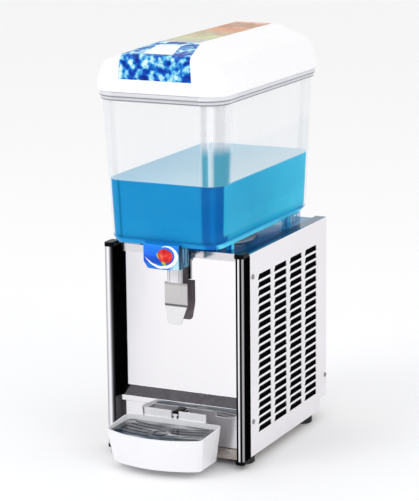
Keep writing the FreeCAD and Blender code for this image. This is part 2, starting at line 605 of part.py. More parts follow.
def make_compressor():
    part = lathe("compressor", [
        (0, "comp_low"), ("comp_r - 12", "comp_low"), ("comp_r - 2", "comp_low + 10"),
        ("comp_r - 2", "comp_belt - 5"), ("comp_r", "comp_belt - 4"), ("comp_r", "comp_belt + 4"),
        ("comp_r - 2", "comp_belt + 5"), ("comp_r - 4", "comp_top - 26"),
        ("comp_r - 14", "comp_top - 9"), ("comp_r - 32", "comp_top"), (0, "comp_top")], 0, "comp_y")
    plate = ("comp_plate_low", "comp_plate_low + comp_plate")
    pad(part, "Z", [rounded(("-comp_plate_x", "comp_plate_x"), ("-comp_plate_y", "comp_plate_y"), 14)],
        *plate)
    pad(part, "Z", [rect((-42, 42), (-30, 30))], plate[0], "comp_low + 2")
    corners = [(f"{sx} * comp_stud_x", f"{sy} * comp_stud_y") for sx in SIDES for sy in SIDES]
    cut(part, "Z", [circle(x, y, "grommet_r - 3.5") for x, y in corners],
        "comp_plate_low - 1", "comp_plate_low + comp_plate + 1")
    grommets = new_body("compressor_grommets")
    low, mid = "cabinet_bottom + skin", "comp_plate_low"
    place(grommets, 0, "comp_y")
    rings = [circle(x, y, radius) for x, y in corners for radius in ("grommet_r", "stud_r + 0.2")]
    pad(grommets, "Z", rings, low, mid)
    studs = new_body("compressor_studs")
    place(studs, 0, "comp_y")
    pad(studs, "Z", [circle(x, y, "stud_r") for x, y in corners], low, f"{mid} + 12")
    pad(studs, "Z", [circle(x, y, "grommet_r - 1") for x, y in corners],
        f"{mid} + comp_plate", f"{mid} + comp_plate + 1.5")
    pad(studs, "Z", [hexagon(x, y, 6) for x, y in corners],
        f"{mid} + comp_plate + 1.5", f"{mid} + comp_plate + 6")
    cover = new_body("compressor_terminal_cover")
    block(cover, ("-22", "22"), ("comp_y - comp_r - 18", "comp_y - comp_r + 1.2"), (78, 116))
    dress(cover, "Fillet", 4, lambda edge: edge.BoundBox.YMin < value("comp_y - comp_r - 17"))


def make_condenser():
    tube = new_body("condenser_coil")
    passes = int(value("cond_passes"))
    path = sketch_on(tube, "Y", "cond_y", [])
    half, gap, low = value("cond_run_half"), value("cond_pass"), value("cond_first")
    curves = []
    for index in range(passes):
        side = -1 if index % 2 == 0 else 1
        level = low + gap * index
        start, end = (FreeCAD.Vector(-side * half, level, 0), FreeCAD.Vector(side * half, level, 0))
        curves.append(Part.LineSegment(start, end))
        if index + 1 < passes:
            middle = FreeCAD.Vector(side * (half + gap / 2), level + gap / 2, 0)
            curves.append(Part.Arc(end, middle, end + FreeCAD.Vector(0, gap, 0)))
    for curve in curves:
        path.addGeometry(curve, False)
    pipe = tube.newObject("PartDesign::AdditivePipe", "condenser_coil_pipe")
    pipe.Profile = sketch_on(tube, "X", "cond_run_half", [circle("cond_y", "cond_first", "cond_tube_r")])
    pipe.Spine = path

    fins = new_body("condenser_fins")
    holes = [circle("cond_y", f"cond_first + {index} * cond_pass", "cond_tube_r + 0.05")
             for index in range(passes)]
    outline = rect(("cond_y - cond_deep / 2", "cond_y + cond_deep / 2"), ("cond_low + 2", "cond_high - 2"))
    start = "-fin_gap * (fin_count - 1) / 2"
    one = pad(fins, "X", [outline] + holes, start, f"{start} + fin_skin")
    repeat(fins, one, "X", "fin_gap", "fin_count")

    ends = new_body("condenser_end_plates")
    outline = rect(("cond_y - cond_deep / 2 - 1", "cond_y + cond_deep / 2"), ("cond_low", "cond_high"))
    for side in SIDES:
        place_x = span(side, "cond_half - 8", "cond_half - 7")
        pad(ends, "X", [outline] + holes, *place_x)
        block(ends, span(side, "cond_half - 7.5", "cond_half"),
              ("cond_y + cond_deep / 2 - 1", "cond_y + cond_deep / 2"), ("cond_low", "cond_high"))
        block(ends, span(side, "cond_half - 8", "cond_half - 7"), ("cond_y - 16", "cond_y + 16"),
              ("cabinet_bottom + skin", "cond_low + 1"))
        block(ends, span(side, "cond_half - 7.5", "cond_half + 6"), ("cond_y - 16", "cond_y + 16"),
              ("cabinet_bottom + skin", "cabinet_bottom + 2 * skin"))


def make_fan():
    shroud = new_body("fan_shroud")
    plate = ("shroud_y", "shroud_y + skin")
    pad(shroud, "Y", [rect(("-cond_half", "cond_half"), ("cond_low", "cond_high")),
                      circle(0, "fan_z", "shroud_r")], *plate)
    pad(shroud, "Y", [circle(0, "fan_z", "shroud_r + skin"), circle(0, "fan_z", "shroud_r")],
        "shroud_y + skin / 2", "shroud_y + shroud_deep")
    motor = lathe("fan_motor", [
        (0, 0), (12, 0), ("fan_motor_r", 4), ("fan_motor_r", "fan_motor_deep - 5"),
        ("fan_motor_r - 7", "fan_motor_deep"), (0, "fan_motor_deep")])
    place(motor, 0, "fan_motor_y", "fan_z", "Y")
    cut(motor, "Z", [circle(0, 0, "fan_shaft_r + 0.06")], -1, 12)
    bracket = new_body("fan_bracket")
    arm = ("fan_motor_y + 12", "fan_motor_y + 15")
    level = ("fan_z - bracket_half", "fan_z + bracket_half")
    pad(bracket, "Y", [circle(0, "fan_z", "fan_motor_r + 4"), circle(0, "fan_z", "fan_motor_r")],
        "fan_motor_y + 8", "fan_motor_y + 20")
    for side in SIDES:
        block(bracket, span(side, "fan_motor_r + 2", "cond_half"), arm, level)
        block(bracket, span(side, "cond_half - bracket_skin", "cond_half"),
              ("shroud_y + skin", arm[1]), level)
    blade = new_body("fan_blade")
    place(blade, 0, "fan_y", "fan_z", "Y")
    pad(blade, "Z", [circle(0, 0, "fan_hub_r")], "-fan_hub_deep / 2", "fan_hub_deep / 2")
    vane = loft_along_x(blade, [("fan_hub_r - 4", 13, 38, 2.4), ("fan_r * 0.6", 21, 28, 2),
                                ("fan_r", 23, 20, 1.6)])
    ring_of(blade, vane, 5)
    cut(blade, "Z", [circle(0, 0, "fan_shaft_r")], "-fan_hub_deep", "fan_hub_deep")
    shaft = new_body("fan_shaft")
    place(shaft, 0, "fan_y", "fan_z", "Y")
    pad(shaft, "Z", [circle(0, 0, "fan_shaft_r")], "-fan_hub_deep / 2", "fan_motor_y - fan_y + 11")


def loft_along_x(part, stations):
    """A vane lofted out along X: each station a distance, half width, pitch in degrees, thickness."""
    sketches = []
    for distance, half, pitch, thick in stations:
        along, across = radians(pitch), radians(pitch + 90)
        corners = []
        for end, edge in ((1, 1), (-1, 1), (-1, -1), (1, -1)):
            y = end * half * cos(along) + edge * thick / 2 * cos(across)
            z = end * half * sin(along) * 0.5 + edge * thick / 2 * sin(across)
            corners.append((f"{y:.3f}", f"{z:.3f}"))
        sketches.append(sketch_on(part, "X", distance, [polygon(corners)]))
    feature = part.newObject("PartDesign::AdditiveLoft", f"{part.Label}_vane")
    feature.Profile = sketches[0]
    feature.Sections = sketches[1:]
    part.Tip = feature
    return feature


def make_dome():
    y = "dome_y"
    lathe("evaporator_dome", [
        ("dome_r - dome_skin", "deck_top"), ("dome_flange_r", "deck_top"),
        ("dome_flange_r", "deck_top + dome_skin"), ("dome_r", "deck_top + dome_skin"),
        ("dome_r", "dome_top - dome_round"), ("dome_r - dome_round * 0.29", "dome_top - dome_round * 0.29"),
        ("dome_r - dome_round", "dome_top"), (9, "dome_top"), (9, "dome_top + 0.9"),
        ("spindle_r", "dome_top + 0.9"), ("spindle_r", "spindle_top - 1.5"),
        ("spindle_r - 1.5", "spindle_top"), (0, "spindle_top"), (0, "dome_top - dome_skin"),
        ("dome_r - dome_round", "dome_top - dome_skin"),
        ("dome_r - dome_round * 0.29 - 0.9", "dome_top - dome_round * 0.29 - 0.9"),
        ("dome_r - dome_skin", "dome_top - dome_round")], 0, y)
    coil = new_body("evaporator_coil")
    place(coil, 0, y)
    rings = coil.newObject("PartDesign::Revolution", "evaporator_coil_rings")
    rings.Profile = sketch_on(coil, "Y", 0, [
        circle("coil_r", f"coil_low + {turn} * coil_gap", "coil_tube_r") for turn in range(6)])
    rings.ReferenceAxis = (datum(coil, "Z_Axis"), [""])
    rings.Angle = 360
    pad(coil, "Z", [circle("coil_r", 0, "coil_tube_r - 1.5")], "coil_low", "coil_low + 5 * coil_gap")
    lathe("evaporator_foam", [
        ("foam_bore_r", "foam_low"), ("foam_r + 7", "foam_low"), ("foam_r + 7", "deck_top - 2"),
        ("foam_r", "deck_top - 2"), ("foam_r", "foam_top"), ("foam_bore_r", "foam_top")], 0, y)
    lathe("bowl_seal", [
        ("dome_r + 0.1", "seal_low"), ("seal_r", "seal_low"), ("seal_r", "seal_top - 1.4"),
        ("seal_r - 2", "seal_top"), ("dome_r + 1.4", "seal_top"), ("dome_r + 0.1", "seal_top - 1.2")], 0, y)


def make_stirrer():
    y = "dome_y"
    part = lathe("stirrer", [
        ("spindle_r + 0.08", "stirrer_low"), ("stirrer_hub_r", "stirrer_low"),
        ("stirrer_hub_r", "stirrer_top - 3"), ("stirrer_hub_r - 3", "stirrer_top"),
        ("spindle_r + 0.08", "stirrer_top")], 0, y)
    blade = block(part, ("stirrer_hub_r - 2", "stirrer_r"), ("-blade_thick / 2", "blade_thick / 2"),
                  ("blade_low", "stirrer_top - 3.2"))
    ring_of(part, blade, 6)
    pad(part, "Z", [circle(0, 0, "stirrer_r"), circle(0, 0, "stirrer_r - 2.4")],
        "blade_low", "blade_low + 2.6")
    lathe("drive_magnet", [
        ("shaft_r", "drive_low - 8"), ("shaft_r + 4", "drive_low - 8"), ("shaft_r + 4", "drive_low"),
        ("drive_r", "drive_low"), ("drive_r", "drive_top - 1"), ("drive_r - 1", "drive_top"),
        ("shaft_r", "drive_top")], 0, y)
    lathe("drive_shaft", [
        (0, "shaft_low - 12"), ("shaft_r", "shaft_low - 12"), ("shaft_r", "drive_top"),
        (0, "drive_top")], 0, y)
    motor = lathe("agitator_motor", [
        (0, "motor_low"), ("motor_r - 4", "motor_low"), ("motor_r", "motor_low + 4"),
        ("motor_r", "motor_top - 3"), ("motor_r - 3", "motor_top"), (0, "motor_top")], 0, y)
    cut(motor, "Z", [circle(0, 0, "shaft_r + 0.06")], "shaft_low - 12.3", "motor_top + 1")
    block(motor, (-16, 16), ("motor_r - 3", "motor_r + 14"), ("motor_low + 6", "motor_top - 10"))
    hanger = new_body("agitator_motor_bracket")
    place(hanger, 0, y)
    plate = ("hanger_low", "hanger_low + 2")
    pad(hanger, "Z", [rect(("-hanger_half", "hanger_half"), (-20, 20)), circle(0, 0, 8)], *plate)
    for side in SIDES:
        block(hanger, span(side, "hanger_half - 2", "hanger_half"), (-20, 20),
              ("hanger_low + 1", "foam_low - 4"))
        block(hanger, span(side, "hanger_half - 1", "hanger_half + 34"), (-20, 20),
              ("foam_low - 4", "foam_low - 2"))
        block(hanger, span(side, "hanger_half + 32", "hanger_half + 34"), (-20, 20),
              ("foam_low - 3", "deck_low"))


# ---------------------------------------------------------------- bowl and lid

def bowl_loop(half, front, rear, radius, inset=0):
    return rounded((f"-({half}) + {inset}", f"{half} - {inset}"),
                   (f"{front} + {inset}", f"{rear} - {inset}"), f"{radius} - {inset} * 0.9")


LOW = ("low_half", "low_front", "low_rear", "low_round")
BEND = ("bend_half", "bend_front", "bend_rear", "bend_round")
RIM = ("rim_half", "rim_front", "rim_rear", "rim_round")


def make_bowl():
    part = new_body("bowl")
    loft(part, "Additive", [("bowl_low", bowl_loop(*LOW)), ("bowl_bend", bowl_loop(*BEND)),
                            ("bowl_rim", bowl_loop(*RIM))])
    pad(part, "Z", [bowl_loop(*RIM, "-rim_out")], "bowl_rim - 0.5", "rim_step")
    pad(part, "Z", [bowl_loop(*RIM, "-rim_lip")], "rim_step - 0.5", "rim_top")
    loft(part, "Subtractive", [
        ("bowl_low + 4", bowl_loop(*LOW, "bowl_wall - 1")),
        ("bowl_bend + 1", bowl_loop(*BEND, "bowl_wall")),
        ("rim_top + 4", bowl_loop(*RIM, "bowl_wall"))])
    pad(part, "Z", [circle(0, "dome_y", "collar_r")], "collar_low", "collar_top")
    cut(part, "Z", [circle(0, "dome_y", "collar_bore_r")], "collar_low - 1", "collar_top + 1")
    cut(part, "Z", [circle(0, "bowl_outlet_y", "bowl_outlet_r")], "bowl_low - 1", "bowl_low + 6")
    feet = [circle(f"{side} * bowl_foot_x", y, "bowl_foot_r")
            for side in SIDES for y in ("bowl_foot_front", "bowl_foot_rear")]
    pad(part, "Z", feet, "bowl_foot_low", "bowl_low + 1")


def make_bowl_clips():
    part = new_body("bowl_side_clips")
    for side in SIDES:
        block(part, span(side, "clip_in", "clip_in + 2"), ("clip_front", "clip_front + clip_long"),
              ("clip_low", "clip_high"))
        block(part, span(side, "clip_in - 6", "clip_out"), ("clip_front", "clip_front + clip_long"),
              ("clip_low", "clip_low + 2"))
        rib = block(part, span(side, "clip_in + 1", "clip_out"),
                    ("clip_front", "clip_front + clip_rib"), ("clip_low + 1", "clip_high"))
        gap = "(clip_long - clip_rib) / (clip_rib_count - 1)"
        repeat(part, rib, "Y", gap, "clip_rib_count")


def make_lid():
    part = new_body("lid")
    levels = [("lid_low", "lid_w0", 0, "lid_round"), ("lid_z1", "lid_w0", 0, "lid_round"),
              ("lid_z2", "lid_w2", 1, "lid_round * 0.8"), ("lid_z3", "lid_w3", 1.6, "lid_round * 0.6"),
              ("lid_z4", "lid_w4", 2.2, "lid_round * 0.3"), ("lid_z5", "lid_w5", 3, "lid_round * 0.15")]
    top = ("lid_z6", "lid_w6", "lid_top_front", "lid_top_rear")

    def section(half, front, rear, radius, inset):
        return rounded((f"-({half}) + {inset}", f"{half} - {inset}"),
                       (f"{front} + {inset}", f"{rear} - {inset}"), radius)

    for kind, inset in (("Additive", "0"), ("Subtractive", "lid_wall")):
        sections = []
        for height, half, back, radius in levels:
            drop = f"{inset} / 2" if height == "lid_low" else inset
            loop = section(half, f"lid_front + {back}", f"lid_rear - {back}",
                           f"({radius}) - {inset} * 0.5", inset)
            sections.append((f"{height} - {drop}", loop))
        crown = section(*top[1:], f"lid_round * 0.15 - {inset} * 0.5", inset)
        loft(part, kind, sections + [(f"{top[0]} - {inset}", crown)])


# ---------------------------------------------------------------- tap

def make_tap():
    body = new_body("faucet_body")
    block(body, ("-tap_half", "tap_half"), ("tap_front", "tap_rear"), ("tap_low", "tap_top"))
    for side in SIDES:
        block(body, span(side, "tap_ear_in", "tap_half"), ("tap_rear - 1", "tap_ear_rear"),
              ("pivot_z - 7", "tap_top - 4"))
    pad(body, "Z", [circle(0, "nozzle_y", "nozzle_r")], "nozzle_low", "tap_low + 1")
    chamber = ("valve_chamber_front", "valve_seat")
    cut(body, "Y", [circle(0, "valve_z", "valve_chamber_r")], *chamber)
    cut(body, "Y", [circle(0, "valve_z", "valve_port_r")], "valve_seat - 1", "valve_back")
    cut(body, "Y", [circle(0, "valve_z", "valve_stem_r + 0.06")], "valve_back - 1", "tap_rear + 1")
    cut(body, "Z", [circle(0, "bowl_outlet_y", "bowl_outlet_r")], "valve_z", "tap_top + 1")
    cut(body, "Z", [circle(0, "nozzle_y", "nozzle_bore_r")], "nozzle_low - 1", "valve_z")
    cut(body, "X", [circle("pivot_y", "pivot_z", "pivot_r + 0.02")], "-tap_half - 1", "tap_half + 1")

    plunger = new_body("valve_plunger")
    head = ("valve_seat - valve_head - 0.2", "valve_seat - 0.2")
    pad(plunger, "Y", [circle(0, "valve_z", "valve_head_r")], *head)
    pad(plunger, "Y", [circle(0, "valve_z", "valve_stem_r")], "valve_seat - 1.2", "valve_stem_end")
    spring = new_body("valve_spring")
    place(spring, 0, "valve_chamber_front + spring_wire + 0.2", "valve_z", "Y")
    helix = spring.newObject("PartDesign::AdditiveHelix", "valve_spring_helix")
    helix.Profile = sketch_on(spring, "Y", 0, [circle("spring_r", 0, "spring_wire")])
    helix.ReferenceAxis = (datum(spring, "Z_Axis"), [""])
    helix.setExpression("Pitch", bound("spring_gap"))
    helix.setExpression("Height", bound("spring_gap * spring_turns"))
    make_faucet_cover()


def make_faucet_cover():
    part = new_body("faucet_cover")

    def outline(inset):
        half = f"cover_half - {inset}"
        bow = "cover_side - cover_front"
        return bowed(half, "cover_rear + 1" if inset else "cover_rear",
                     f"cover_front + {inset}", bow, f"cover_bend - {inset} * 0.8")

    pad(part, "Z", [outline(0)], "cover_low", "cover_top")
    cut(part, "Z", [outline("cover_wall")], "cover_low - 1", "cover_top - cover_wall")
    cut(part, "Z", [rect(("-cover_half - 1", "cover_half + 1"), ("low_front - 4.4", "cover_rear + 2"))],
        "cover_deep_top", "cover_top + 1")
    corner = polygon([
        ("-cover_half - 1", "cover_low - 1"), ("-cover_half + cover_cut", "cover_low - 1"),
        ("-cover_half + cover_cut", "cover_low"), ("-cover_half", "cover_low + cover_cut"),
        ("-cover_half - 1", "cover_low + cover_cut")])
    cut(part, "Y", [corner], "cover_front - 1", "cover_rear + 1")
    block(part, (-4, 4), ("cover_front + cover_wall / 2", "tap_front"), ("tap_low + 6", "tap_low + 20"))


def make_lever():
    arm = new_body("lever_arm")
    profile = polygon([
        ("arm_front", "arm_low"), ("arm_rear", "arm_low"), ("arm_rear", "pivot_z - 5"),
        ("pivot_y + 4", "pivot_z"), ("pivot_y", "arm_high"), ("arm_front", "arm_high")])
    pad(arm, "X", [profile], "-lever_arm_half", "lever_arm_half")
    pad(arm, "X", [circle("pivot_y", "pivot_z", "arm_boss_r")], "-lever_arm_half", "lever_arm_half")
    cut(arm, "X", [circle("pivot_y", "pivot_z", "pivot_r + 0.06")],
        "-lever_arm_half - 1", "lever_arm_half + 1")
    cut(arm, "Y", [circle(0, "lever_screw_z", "screw_r")], "arm_front - 1", "arm_rear + 1")
    plate = new_body("dispensing_lever")
    side = polygon([
        ("arm_rear", "plate_tab_top"), ("arm_rear", "plate_bend"), ("plate_low_y", "plate_low"),
        ("plate_low_y + plate_thick", "plate_low - 0.3"), ("arm_rear + plate_thick", "plate_bend - 0.2"),
        ("arm_rear + plate_thick", "plate_tab_top")])
    pad(plate, "X", [side], "-plate_half", "plate_half")
    edge = "plate_half + 2"
    for way in SIDES:
        cut(plate, "Y", [polygon([
            (f"{way} * plate_tab_half", "plate_tab_top + 1"), (f"{way} * plate_tab_half", "plate_top"),
            (f"{way} * ({edge})", "plate_top"), (f"{way} * ({edge})", "plate_tab_top + 1")])],
            "plate_low_y - 3", "arm_rear + 5")
        cut(plate, "Y", [polygon([
            (f"{way} * plate_half", "plate_bend"), (f"{way} * plate_tip_half", "plate_low - 2"),
            (f"{way} * ({edge})", "plate_low - 2"), (f"{way} * ({edge})", "plate_bend")])],
            "plate_low_y - 3", "arm_rear + 5")
    cut(plate, "Y", [circle(0, "lever_screw_z", "screw_r + 0.1")], "arm_rear - 1", "arm_rear + 3")
    dress(plate, "Fillet", "plate_tip_round", lambda e: e.BoundBox.ZMax < value("plate_low + 3")
          and e.BoundBox.XLength < 0.5 and e.Length < 3)
    screw = new_body("lever_screw")
    pad(screw, "Y", [circle(0, "lever_screw_z", "screw_r")], "arm_front", "arm_rear + plate_thick + 1")
    pad(screw, "Y", [circle(0, "lever_screw_z", "screw_head_r - 0.8")], "arm_front - 1.2", "arm_front")
    pin_body = new_body("lever_pin")
    pad(pin_body, "X", [circle("pivot_y", "pivot_z", "pivot_r")], "-tap_half", "tap_half")


# ---------------------------------------------------------------- drip tray

def tray_outline(rise, inset=0):
    """The tray's outline at a height above its floor, grown by the draft of its walls."""
    grow = f"({rise}) / (tray_top - tray_low)"
    return bowed(f"tray_half - tray_draft + tray_draft * {grow} - ({inset})",
                 f"tray_rear - ({inset})",
                 f"tray_nose + tray_front_draft - tray_front_draft * {grow} + ({inset})",
                 "tray_bow", f"tray_round - ({inset})")


def make_tray():
    tray = new_body("drip_tray")
    height = "tray_top - tray_low"
    loft(tray, "Additive", [("tray_low", tray_outline(0)), ("tray_top", tray_outline(height))])
    loft(tray, "Subtractive", [
        ("tray_low + tray_floor", tray_outline("tray_floor", "tray_wall")),
        ("tray_top + 2", tray_outline(f"{height} + 2", "tray_wall"))])
    slope = polygon([("tray_nose - 5", "tray_front_top"), ("tray_rear - 12", "tray_top"),
                     ("tray_rear - 12", "tray_top + 9"), ("tray_nose - 5", "tray_top + 9")])
    cut(tray, "X", [slope], "-tray_half - 5", "tray_half + 5")
    for side in SIDES:
        block(tray, span(side, "tray_gap", "tray_back_half"), ("tray_rear", "tray_rear + tray_wall"),
              ("tray_gap_low - 10", "tray_back_top"))
    back = ("tray_rear - tray_wall", "tray_rear + tray_wall")
    block(tray, ("-tray_back_half", "tray_back_half"), back, ("tray_gap_low - 10", "tray_gap_low"))
    block(tray, (-2.2, 2.2), ("tray_rear", "tray_rear + tray_wall"), ("tray_gap_low - 1", "tab_high"))
    block(tray, (-4, 4), ("tray_rear", "tab_rear"), ("tab_low", "tab_high"))
    pegs = [circle(f"{side} * peg_x", y, "peg_r") for side in SIDES for y in ("peg_rear", "peg_front")]
    pad(tray, "Z", pegs, "tray_low + tray_floor - 1", "grid_low - 0.2")
    make_grid()
    clip = new_body("tray_clip")
    root, mouth = "lower_y + steel + 3", "tab_rear + 1"
    side_view = polygon([
        ("hook_front", "hook_low"), (root, "hook_low"), (root, "hook_high"),
        ("hook_front", "hook_high"), ("hook_front", "tab_high + 0.4"), (mouth, "tab_high + 0.4"),
        (mouth, "tab_low - 0.4"), ("hook_front", "tab_low - 0.4")])
    pad(clip, "X", [side_view], "-hook_half", "hook_half")


def slot_arc(ends, hub, ring, half):
    """A curved slot between two X, on a ring about a hub on the Y axis, with round ends."""
    def draw(sketch):
        middle, thin = value(ring), value(half)
        start, stop = (asin(value(x) / middle) for x in ends)

        def spot(angle, radius):
            return at(0, hub) + FreeCAD.Vector(radius * sin(angle), -radius * cos(angle), 0)

        def round_end(angle, lean, first, last):
            return Part.Arc(spot(angle, first), spot(angle + lean, middle), spot(angle, last))

        outer, inner = middle + thin, middle - thin
        halfway, lean = (start + stop) / 2, thin / middle
        first = sketch.GeometryCount
        for curve in (Part.Arc(spot(start, outer), spot(halfway, outer), spot(stop, outer)),
                      round_end(stop, lean, outer, inner),
                      Part.Arc(spot(start, inner), spot(halfway, inner), spot(stop, inner)),
                      round_end(start, -lean, inner, outer)):
            sketch.addGeometry(curve, False)
        for one, end, other, far_end in ((0, 2, 1, 1), (1, 2, 2, 2), (2, 1, 3, 1), (3, 2, 0, 1)):
            kind = "Tangent" if far_end == 1 and end == 2 else "Coincident"
            sketch.addConstraint(Sketcher.Constraint(kind, first + one, end, first + other, far_end))
        for arc, sign in ((first, "+"), (first + 2, "-")):
            reach = f"(({ring}) {sign} {half})"
            pin(sketch, arc, 3, 0, hub)
            tie(sketch, "Radius", arc, reach)
            for end, x in enumerate(ends, start=1):
                tie(sketch, "DistanceX", -1, 1, arc, end, f"({x}) * {reach} / ({ring})")
    return draw


def make_grid():
    grid = new_body("drip_grid")
    rise = "grid_low - tray_low"
    inset = "tray_wall + grid_gap"
    loft(grid, "Additive", [("grid_low", tray_outline(rise, inset)),
                            ("grid_low + grid_thick", tray_outline(f"{rise} + grid_thick", inset))])
    hub = "tray_nose + tray_bow + grid_slot_r"
    loops = []
    for row in range(5):
        ring = f"grid_slot_r + grid_ring_0 - {row} * grid_row"
        near = "medal_r + 5" if row in (1, 2) else "grid_slot_x"
        far = f"tray_half - 17 - {row}"
        loops += [slot_arc(span(side, near, far), hub, ring, "grid_slot") for side in SIDES]
    cut(grid, "Z", loops, "grid_low - 1", "grid_low + grid_thick + 1")
    top = "grid_low + grid_thick"
    medal = [circle(0, "medal_y", "medal_r"), circle(0, "medal_y", "medal_r - 3")]
    pad(grid, "Z", medal, f"{top} - 0.2", f"{top} + 1")


# ---------------------------------------------------------------- controls

def make_controls():
    face = "rear_y + skin"
    bezels = new_body("switch_bezels")
    for x in SWITCH_X:
        window = rect((f"{x} - rocker_half_x - 0.4", f"{x} + rocker_half_x + 0.4"),
                      ("switch_z - rocker_half_z - 0.6", "switch_z + rocker_half_z + 0.6"))
        outer = rect((f"{x} - bezel_half_x", f"{x} + bezel_half_x"),
                     ("switch_z - bezel_half_z", "switch_z + bezel_half_z"))
        inner = rect((f"{x} - bezel_half_x + 2.3", f"{x} + bezel_half_x - 2.3"),
                     ("switch_z - bezel_half_z + 2.3", "switch_z + bezel_half_z - 2.3"))
        pad(bezels, "Y", [outer, window], face, f"{face} + 2.2")
        pad(bezels, "Y", [inner, window], "rear_y - 14", face)
        pad(bezels, "Y", [inner], "rear_y - 24", "rear_y - 14")
    for label, x in zip(("cooling_switch", "stirring_switch"), SWITCH_X):
        rocker = new_body(label)
        tilt, half = radians(value("rocker_tilt")), value("rocker_half_z")
        profile = []
        for share, out in ROCKER_SECTION:
            y = out * cos(tilt) - share * half * sin(tilt)
            z = out * sin(tilt) + share * half * cos(tilt)
            profile.append((f"{face} + {y:.3f}", f"switch_z + {z:.3f}"))
        pad(rocker, "X", [polygon(profile)], f"{x} - rocker_half_x", f"{x} + rocker_half_x")
        pivot = circle(face, "switch_z", "rocker_pin_r")
        pad(rocker, "X", [pivot], f"{x} - rocker_half_x - 0.3", f"{x} + rocker_half_x + 0.3")
    thermostat = new_body("thermostat")
    block(thermostat, ("knob_x - 20", "knob_x + 20"), ("rear_y - 30", "rear_y - 2"),
          ("knob_z - 16", "knob_z + 16"))
    pad(thermostat, "Y", [circle("knob_x", "knob_z", 4)], "rear_y - 3", face)
    cut(thermostat, "Y", [circle("knob_x", "knob_z", 2.56)], "rear_y - 12", "rear_y + 3")
    knob = lathe("thermostat_knob", [
        (0, -10), (2.5, -10), (2.5, 0.6), ("knob_r", 0.6), ("knob_r - 1", "knob_deep - 1"),
        ("knob_r - 2.2", "knob_deep"), (0, "knob_deep")])
    place(knob, "knob_x", face, "knob_z", "Y")
    grip = cut(knob, "Z", [circle("knob_r + 1.2", 0, 2)], 1.6, "knob_deep + 1")
    ring_of(knob, grip, 12)
    gland = lathe("cord_gland", [
        (3.4, -8), ("gland_r - 3.1", -8), ("gland_r - 3.1", 0), ("gland_r", 0), ("gland_r", 3),
        ("gland_r - 3", 8), (3.4, 8)])
    place(gland, "gland_x", face, "gland_z", "Y")
    box = new_body("junction_box")
    block(box, (-112, -72), ("rear_y - 62", "rear_y - 18"), (50, 82))
    dress(box, "Chamfer", 1.5, level_edges(82))


# ---------------------------------------------------------------- pipes and leads

def tube(label, radius, route):
    """A bent tube: straight runs through the route joined by tangent arcs."""
    points = [FreeCAD.Vector(*spot) for spot in route]
    edges, start = [], points[0]
    for before, corner, after in zip(points, points[1:], points[2:]):
        enter, leave = (corner - before).normalize(), (after - corner).normalize()
        turn = enter.getAngle(leave)
        reach = 0.42 * min((corner - before).Length, (after - corner).Length)
        bend = reach / (sin(turn / 2) / cos(turn / 2))
        inward = (leave - enter).normalize()
        middle = corner + inward * (sqrt(reach ** 2 + bend ** 2) - bend)
        near, far = corner - enter * reach, corner + leave * reach
        edges += [Part.LineSegment(start, near).toShape(), Part.Arc(near, middle, far).toShape()]
        start = far
    edges.append(Part.LineSegment(start, points[-1]).toShape())
    path = Part.Wire(edges)
    tangent = (points[1] - points[0]).normalize()
    ring = Part.Wire([Part.Circle(points[0], tangent, value(radius)).toShape()])
    part = doc.addObject("Part::Feature", label)
    part.Label = label
    part.Shape = path.makePipeShell([ring], True, False)
    NODES.append(part)


def shell_port(x, y, z, run):
    """Two points of a pipe that leaves the compressor square to its shell, from beside x, y."""
    centre = FreeCAD.Vector(0, value("comp_y"), z)
    out = (FreeCAD.Vector(x, y, z) - centre).normalize()
    reach = value("comp_r - 3.4")
    return [centre + out * reach, centre + out * (reach + run)]


def make_pipes():
    coil_end = at("-cond_run_half - 0.1", "cond_y", "cond_first + cond_pass * (cond_passes - 1)")
    tube("discharge_pipe", "pipe_r", shell_port(-40, 66, 160, 14) + [
        (-74, 22, 190), (-99, -22, 212), (-104, -56, 212), (-100, coil_end.y, coil_end.z), coil_end])
    lathe("filter_drier", [(0, 206), (3, 206), (9, 216), (9, 282), (3, 292), (0, 292)], -92, 4)
    under = value("foam_low")
    tube("suction_pipe", "suction_r", shell_port(34, 62, 158, 14) + [
        (66, 44, 190), (72, 46, 250), (66, 48, 300), (36, 50, 318), (36, 50, under)])
    tube("capillary_tube", "capillary_r", [
        (-92, 4, 206), (-92, 4, 193), (-94, 20, 184), (-92, 40, 200), (-86, 48, 240),
        (-70, 48, 290), (-40, 46, 318), (-40, 46, under)])


def build():
    make_base_pan()
    make_rubber_feet()
    for side in SIDES:
        make_side_panel(side)
    make_side_screws()
    make_posts()
    make_splash_panel()
    make_deck()
    make_rear()
    make_compressor()
    make_condenser()
    make_fan()
    make_dome()
    make_stirrer()
    make_bowl()
    make_bowl_clips()
    make_lid()
    make_tap()
    make_lever()
    make_tray()
    make_controls()
    make_pipes()


def export():
    """Check every object and shape, then write one file for each node."""
    doc.recompute()
    for item in doc.Objects:
        if "Invalid" in item.State or "Error" in item.State:
            raise RuntimeError(f"{item.Name} failed: {item.State}")
    os.makedirs("parts", exist_ok=True)
    for part in NODES:
        if part.Shape.isNull() or not part.Shape.isValid():
            raise RuntimeError(f"{part.Label} has no valid shape")
        part.Shape.exportStep(f"parts/{part.Label}.step")
        box = part.Shape.BoundBox
        print(f"{part.Label:28} {len(part.Shape.Solids):3} solids {part.Shape.Volume:12.1f} mm3"
              f"  x {box.XMin:7.1f} {box.XMax:7.1f}  y {box.YMin:7.1f} {box.YMax:7.1f}"
              f"  z {box.ZMin:6.1f} {box.ZMax:6.1f}")


build()
export()
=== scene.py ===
"""Looks of a countertop cold drink dispenser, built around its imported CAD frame.

Metres, +Z up, -Y to the front where the tap is. Places come from the frame's boxes and surfaces.
"""
from math import cos, pi, radians, sin

import bmesh
import bpy
from mathutils import Matrix, Vector
from mathutils.bvhtree import BVHTree


